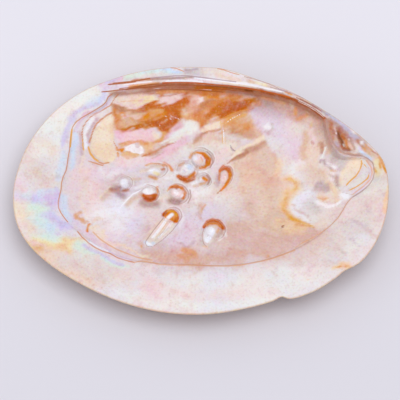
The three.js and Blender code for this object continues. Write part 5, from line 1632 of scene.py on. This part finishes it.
@dataclass(frozen=True)
class NacreFinish:
    """The mother-of-pearl of the valve: pale pastel clouds, stains, thin lines and a soft gloss."""

    # Size in millimetres, detail and roughness of the clouds, the mottling, the grain and the speckle.
    clouds: tuple[float, float, float] = (16.0, 3.0, 0.5)
    mottle: tuple[float, float, float] = (4.5, 4.0, 0.6)
    grain: tuple[float, float, float] = (1.1, 3.0, 0.6)
    speckle: tuple[float, float, float] = (1.25, 3.0, 0.5)
    richness: float = 1.12
    pearly: tuple[tuple[float, Screen], ...] = (
        (0.30, (255, 236, 240)),
        (0.42, (255, 248, 240)),
        (0.52, (249, 255, 249)),
        (0.62, (243, 249, 255)),
        (0.72, (250, 241, 255)),
    )
    pearly_share: float = 0.7
    cloud_share: float = 0.7
    pale_fleck: Screen = (248, 242, 240)
    pale_share: float = 0.14
    dark_fleck: Screen = (228, 203, 197)
    # The level at which the flecks of the mottling and of the grain are full, and the dark ones' share.
    mottle_flecks: Point = (0.75, 0.38)
    grain_flecks: Point = (0.8, 0.5)
    speckle_share: float = 0.45
    # The lines where the nacre drapes the pearls, a painted shade in the crease at their feet and a painted
    # shine on the skirt
    # beyond: where each starts, is full, ebbs and ends, told as distances that are 1 at a pearl's foot, and
    # its colour and share.
    drape_shade_and_shine: tuple[tuple[tuple[float, ...], Tint, float], ...] = (
        ((1.12, 1.22, 1.24, 1.36), Tint.DUSK, 0.6),
        ((1.30, 1.38, 1.40, 1.50), Tint.WHITE, 0.3),
    )
    drape_wobble: float = 0.4
    hairline_edge: Point = (0.5, 1.3)
    hairline_wobble: float = 0.6
    # The hairlines' strength where the grain is lowest, and how much the grain adds to it.
    hairline_grain: Point = (0.6, 0.8)
    # The growth rings of the outer face: how close they lie, and each colour's levels and share.
    ring_pace: float = 0.3
    dark_ring: Screen = (112, 80, 56)
    dark_ring_levels: Point = (0.42, 0.68)
    dark_ring_share: float = 0.45
    pale_ring: Screen = (204, 166, 130)
    pale_ring_levels: Point = (0.48, 0.72)
    pale_ring_share: float = 0.3
    # How much each pattern stands up, and the depth in millimetres that they share.
    mottle_rise: float = 0.25
    grain_rise: float = 0.12
    ring_rise: float = 0.5
    bump_strength: float = 0.2
    bump_depth: float = 0.5
    roughness: float = 0.36
    uneven_roughness: float = 0.15
    outer_roughness: float = 0.15
    gloss: float = 0.08
    coat: float = 0.05
    pearl_coat: float = 0.35
    coat_roughness: float = 0.10

    def flecked(self, graph: Graph, colour: Wire, pattern: Wire, full: float, dark_share: float) -> Wire:
        """Lays pale flecks where a pattern is high, and dark ones where it is low."""
        pale = pattern.eased(0.5, full) * self.pale_share
        colour = graph.mix(pale, colour, linear(*self.pale_fleck))
        dark = (1.0 - pattern).eased(0.5, full) * dark_share
        return graph.mix(dark, colour, linear(*self.dark_fleck), "MULTIPLY")

    def draped(self, graph: Graph, colour: Wire, mottle: Wire) -> Wire:
        """Draws the painted crease shade and the painted shine where the nacre drapes the pearls."""
        drape = graph.attribute("drape") + (mottle - 0.5) * self.drape_wobble
        clear = graph.attribute("drape_edge")
        for (start, full, ebb, end), tint, share in self.drape_shade_and_shine:
            line = drape.eased(start, full) * (1.0 - drape.eased(ebb, end)) * clear * share
            colour = graph.mix(line, colour, linear(*tint.value))
        return colour

    def lined(self, graph: Graph, colour: Wire, mottle: Wire, grain: Wire) -> Wire:
        """Draws the thin lines, a little unsteady in place and strength."""
        weakest, added = self.hairline_grain
        for line in HAIRLINES:
            away = graph.attribute(line.name) + (mottle - 0.5) * self.hairline_wobble
            share = (1.0 - away.eased(*self.hairline_edge)) * line.strength
            share = (share * (weakest + grain * added)).clamped()
            colour = graph.mix(share, colour, linear(*line.tint.value))
        return colour

    def ringed(self, graph: Graph, colour: Wire, rings: Wire) -> Wire:
        """Draws the growth rings on the outer face."""
        outside = graph.attribute("outside")
        dark = rings.eased(*self.dark_ring_levels) * outside * self.dark_ring_share
        colour = graph.mix(dark, colour, linear(*self.dark_ring))
        pale = (1.0 - rings).eased(*self.pale_ring_levels) * outside * self.pale_ring_share
        return graph.mix(pale, colour, linear(*self.pale_ring))

    def material(self) -> bpy.types.Material:
        """Builds the material.

        Returns:
            The material, which reads the attributes that the valve's mesh carries.
        """
        graph = Graph("nacre")
        place = graph.add("ShaderNodeTexCoord", {}, {}, "Object")
        clouds = graph.noise(place, *self.clouds)
        mottle = graph.noise(place, *self.mottle)
        grain = graph.noise(place, *self.grain)
        speckle = graph.noise(place, *self.speckle, "Color")
        pace = graph.attribute("growth") * self.ring_pace
        rings = graph.add("ShaderNodeTexNoise", {"noise_dimensions": "1D"}, {"W": pace, "Detail": 4.0})
        paint = graph.add("ShaderNodeAttribute", {"attribute_name": "paint"}, {}, "Color")
        paint = graph.add("ShaderNodeHueSaturation", {}, {"Saturation": self.richness, "Color": paint})
        wash = clouds * self.cloud_share + mottle * (1.0 - self.cloud_share)
        pearly = graph.add("ShaderNodeValToRGB", {"stops": self.pearly}, {0: wash})
        colour = graph.mix(self.pearly_share, paint, pearly, "MULTIPLY")
        colour = self.flecked(graph, colour, mottle, *self.mottle_flecks)
        colour = self.flecked(graph, colour, grain, *self.grain_flecks)
        colour = graph.mix(self.speckle_share, colour, speckle, "SOFT_LIGHT")
        colour = self.draped(graph, colour, mottle)
        colour = self.lined(graph, colour, mottle, grain)
        colour = self.ringed(graph, colour, rings)
        outside = graph.attribute("outside")
        height = mottle * self.mottle_rise + grain * self.grain_rise + rings * outside * self.ring_rise
        bump = {"Strength": self.bump_strength, "Distance": self.bump_depth * MM, "Height": height}
        uneven = (mottle - 0.5) * self.uneven_roughness
        inputs = {
            "Base Color": colour,
            "Roughness": self.roughness + uneven + outside * self.outer_roughness,
            "Normal": graph.add("ShaderNodeBump", {}, bump),
            "Coat Weight": self.coat + graph.attribute("pearl") * self.pearl_coat,
            "Coat Roughness": self.coat_roughness,
            "Specular IOR Level": self.gloss,
        }
        return graph.finish(graph.add("ShaderNodeBsdfPrincipled", {}, inputs))


@dataclass
class Valve:
    """The valve with its pearls: one closed mesh, and the attributes that its material reads."""

    form: ValveForm = field(default_factory=ValveForm)
    pose: RestPose = field(default_factory=RestPose)
    finish: NacreFinish = field(default_factory=NacreFinish)
    stations: int = 480
    fineness: int = 4
    # Vertices this close to a ring, in rings, belong to it.
    ring_slack: float = 0.02
    stray_along: Waves = Waves(((0.8, Ripples(21, 12.0)), (0.3, Ripples(22, 4.0, 20))))
    stray_across: Waves = Waves(((0.8, Ripples(23, 12.0)), (0.3, Ripples(24, 4.0, 20))))
    hollow_edge: float = 0.6
    # The tan line along the rim: its reach in from the edge, how far down the outside it goes, its share.
    rim_line: Point = (0.8, 0.1)
    rim_line_foot: Point = (-3.5, -2.0)
    rim_line_share: float = 0.8
    piece_name: str = "nacre_valve"

    def __post_init__(self) -> None:
        """Starts with the turn alone, until the mesh tells where it lies."""
        self.to_table = self.pose.turn()

    def stations_to_angles(self, turn: np.ndarray) -> np.ndarray:
        """Spreads the stations evenly along the rim.

        Args:
            turn: shares of a full turn, from 0 to 1.

        Returns:
            Angles round the pole in degrees, from 0 to 360.
        """
        steps = np.arange(0.0, 360.5, 0.5)
        u, v = self.form.plan(steps, self.form.even_rim.radius(steps))
        along = np.concatenate([[0.0], np.cumsum(np.hypot(np.diff(u), np.diff(v)))])
        return np.interp(turn, along / along[-1], steps)

    def shaped(self, ball: np.ndarray) -> tuple[np.ndarray, np.ndarray]:
        """Moves the vertices of a ball to the valve's surface.

        Args:
            ball: vertices of a ball round the origin, one row each.

        Returns:
            The vertices in the plan frame, and whether each is on the outer face.
        """
        rings_in_all = sum(band.rings for band in Band)
        heights = np.clip(ball[:, 2] / np.linalg.norm(ball, axis=1), -1.0, 1.0)
        ring = np.arccos(heights) / math.pi * rings_in_all
        ring = np.where(np.abs(ring - np.round(ring)) < self.ring_slack, np.round(ring), ring)
        turn = (np.arctan2(ball[:, 1], ball[:, 0]) / (2 * math.pi)) % 1.0
        angle = self.stations_to_angles(turn)
        points = np.zeros_like(ball)
        outside = np.zeros(len(ball))
        first = 0
        for band in Band:
            last = first + band.rings
            chosen = (ring >= first) & ((ring < last) | (band is Band.BACK))
            share = (ring[chosen] - first) / band.rings
            radius, height = self.form.place(band, angle[chosen], share)
            u, v = self.form.plan(angle[chosen], radius)
            points[chosen] = np.stack([u, v, height], axis=1)
            outside[chosen] = float(band in (Band.FLANK, Band.BACK))
            first = last
        return points, outside

    def build(self) -> bpy.types.Object:
        """Makes the piece.

        Returns:
            The object, at the origin, dressed in its finish.
        """
        bpy.ops.object.select_all(action="DESELECT")
        rings_in_all = sum(band.rings for band in Band)
        size = {"segments": self.stations // self.fineness, "ring_count": rings_in_all // self.fineness}
        bpy.ops.mesh.primitive_uv_sphere_add(radius=1.0, **size)
        bpy.ops.object.mode_set(mode="EDIT")
        bpy.ops.mesh.select_all(action="SELECT")
        bpy.ops.mesh.subdivide(number_cuts=self.fineness - 1)
        bpy.ops.object.mode_set(mode="OBJECT")
        piece = bpy.context.object
        piece.name = self.piece_name
        mesh = piece.data
        mesh.name = self.piece_name
        ball = np.zeros(len(mesh.vertices) * 3)
        mesh.vertices.foreach_get("co", ball)
        plan, outside = self.shaped(ball.reshape(-1, 3))
        laid, self.to_table = self.pose.lay(plan)
        mesh.vertices.foreach_set("co", laid.ravel())
        mesh.update()
        self.paint(mesh, plan, outside)
        bpy.ops.object.shade_smooth()
        mesh.materials.clear()
        mesh.materials.append(self.finish.material())
        return piece

    def paint(self, mesh: bpy.types.Mesh, plan: np.ndarray, outside: np.ndarray) -> None:
        """Writes the attributes that the finish reads.

        Args:
            mesh: the valve's mesh.
            plan: its vertices in the plan frame.
            outside: 1 on the outer face and 0 on the inner.
        """
        u, v = plan[:, 0], plan[:, 1]
        seen_u, seen_v = PHOTO.look(plan)
        values = {"outside": outside, "growth": self.form.growth(u, v)}
        values["pearl"] = self.form.on_pearls(u, v) * (1.0 - outside)
        values["drape"], values["drape_edge"] = self.form.drape(u, v)
        values["drape_edge"] *= 1.0 - outside
        for line in HAIRLINES:
            values[line.name] = line.away(seen_u, seen_v) + FAR_AWAY * outside
        for name, value in values.items():
            layer = mesh.attributes.new(name, "FLOAT", "POINT")
            layer.data.foreach_set("value", value.astype(np.float32))
        layer = mesh.attributes.new("paint", "FLOAT_COLOR", "POINT")
        layer.data.foreach_set("color", self.painted(plan, outside).astype(np.float32).ravel())

    def painted(self, plan: np.ndarray, outside: np.ndarray) -> np.ndarray:
        """Works out the colour of each vertex.

        Args:
            plan: the vertices in the plan frame.
            outside: 1 on the outer face and 0 on the inner.

        Returns:
            One row of linear red, green, blue and alpha for each vertex.
        """
        u, v = plan[:, 0], plan[:, 1]
        hollow = tuple(map(tuple, closed_curve(self.form.hollow_points, per_point=6)))
        inside = smoothstep(-self.hollow_edge, self.hollow_edge, inside_distance(hollow, u, v))[:, None]
        border, floor, outer, rim = (
            np.array(linear(*tint.value)) for tint in (Tint.BORDER, Tint.FLOOR, Tint.OUTER, Tint.RIM)
        )
        canvas = border + (floor - border) * inside
        strays = self.stray_along.at(u, v), self.stray_across.at(u, v)
        seen_u, seen_v = PHOTO.look(plan)
        for layer in LAYERS:
            layer.paint(canvas, seen_u, seen_v, strays)
        canvas += (outer - canvas) * outside[:, None]
        angle = np.degrees(np.arctan2(v - self.form.pole[1], u - self.form.pole[0])) % 360.0
        gap = self.form.rim.radius(angle) - np.hypot(u - self.form.pole[0], v - self.form.pole[1])
        edge = smoothstep(*self.rim_line, gap) * smoothstep(*self.rim_line_foot, plan[:, 2])
        return canvas + (rim - canvas) * (self.rim_line_share * edge[:, None])


@dataclass(frozen=True)
class Lamp:
    """One square soft light that faces the valve: where it hangs, its size and its power in watts."""

    name: str
    place: tuple[float, float, float]
    size: float
    power: float

    def hang(self) -> None:
        """Adds the light to the scene."""
        bpy.ops.object.light_add(type="AREA", location=self.place)
        lamp = bpy.context.object
        lamp.name = self.name
        lamp.data.shape = "SQUARE"
        lamp.data.size = self.size
        lamp.data.energy = self.power
        lamp.rotation_euler = Vector(self.place).to_track_quat("Z", "Y").to_euler()


@dataclass
class Studio:
    """The pale floor, the soft lights and the camera."""

    # The floor is painted darker towards the camera: a painted falloff of the light over it.
    floor_near_shaded: Screen = (221, 219, 225)
    floor_far_lit: Screen = (234, 232, 238)
    floor_size: float = 6.0
    floor_turn: float = 0.12
    floor_roughness: float = 0.75
    floor_gloss: float = 0.1
    lamps: tuple[Lamp, ...] = (
        Lamp("key", (0.14, -0.10, 1.2), 0.9, 6.35),
        Lamp("fill", (-1.1, -0.5, 0.5), 0.7, 2.4),
    )
    room: Screen = (238, 238, 246)
    room_strength: float = 0.70
    sensor_width: float = 36.0
    nearest: float = 0.05
    farthest: float = 20.0

    def camera(self, to_table: Matrix) -> bpy.types.Object:
        """Places the camera.

        Args:
            to_table: the matrix from the plan frame to the table's frame.

        Returns:
            The camera, set as the scene's own.
        """
        bpy.ops.object.camera_add()
        camera = bpy.context.object
        camera.name = "camera"
        turn = to_table.to_3x3().normalized() @ Matrix(PHOTO.axes().T.tolist())
        place = to_table @ Vector(PHOTO.eye())
        camera.matrix_world = Matrix.Translation(place) @ turn.to_4x4()
        camera.data.sensor_width = self.sensor_width
        camera.data.lens = self.sensor_width * PHOTO.focal_pixels / (2.0 * PHOTO.middle)
        camera.data.clip_start = self.nearest
        camera.data.clip_end = self.farthest
        bpy.context.scene.camera = camera
        return camera

    def floor(self) -> bpy.types.Object:
        """Makes the pale floor that the valve lies on, painted darker towards the camera as painted shade."""
        bpy.ops.mesh.primitive_plane_add(size=self.floor_size)
        floor = bpy.context.object
        floor.name = "floor"
        graph = Graph("pale_floor")
        place = graph.add("ShaderNodeTexCoord", {}, {}, "Object")
        depth = graph.add("ShaderNodeSeparateXYZ", {}, {0: place}, "Y")
        far = depth.eased(-self.floor_turn, self.floor_turn)
        inputs = {
            "Base Color": graph.mix(far, linear(*self.floor_near_shaded), linear(*self.floor_far_lit)),
            "Roughness": self.floor_roughness,
            "Specular IOR Level": self.floor_gloss,
        }
        floor.data.materials.append(graph.finish(graph.add("ShaderNodeBsdfPrincipled", {}, inputs)))
        return floor

    def lights(self) -> None:
        """Hangs the lamps and fills the room with a pale even light."""
        for lamp in self.lamps:
            lamp.hang()
        world = bpy.data.worlds.new("pale_room")
        world.use_nodes = True
        background = world.node_tree.nodes["Background"]
        background.inputs["Color"].default_value = linear(*self.room)
        background.inputs["Strength"].default_value = self.room_strength
        bpy.context.scene.world = world
        bpy.context.scene.view_settings.view_transform = "Standard"


def report_piece(piece: bpy.types.Object) -> None:
    """Writes one piece's name, faces and size to the log."""
    size = ", ".join(f"{side / MM:.1f}" for side in piece.dimensions)
    LOG.info("%s: %d faces, %s mm", piece.name, len(piece.data.polygons), size)


def main() -> None:
    """Builds the valve and the studio round it."""
    logging.basicConfig(level=logging.INFO, format="%(name)s: %(message)s")
    valve = Valve()
    piece = valve.build()
    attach(piece, "root")
    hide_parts("shell")
    report_piece(piece)
    LOG.info("pearls on its floor: %s", ", ".join(pearl.name for pearl in valve.form.pearls))
    studio = Studio()
    studio.camera(valve.to_table)
    studio.floor()
    studio.lights()


if __name__ == "__main__":
    main()
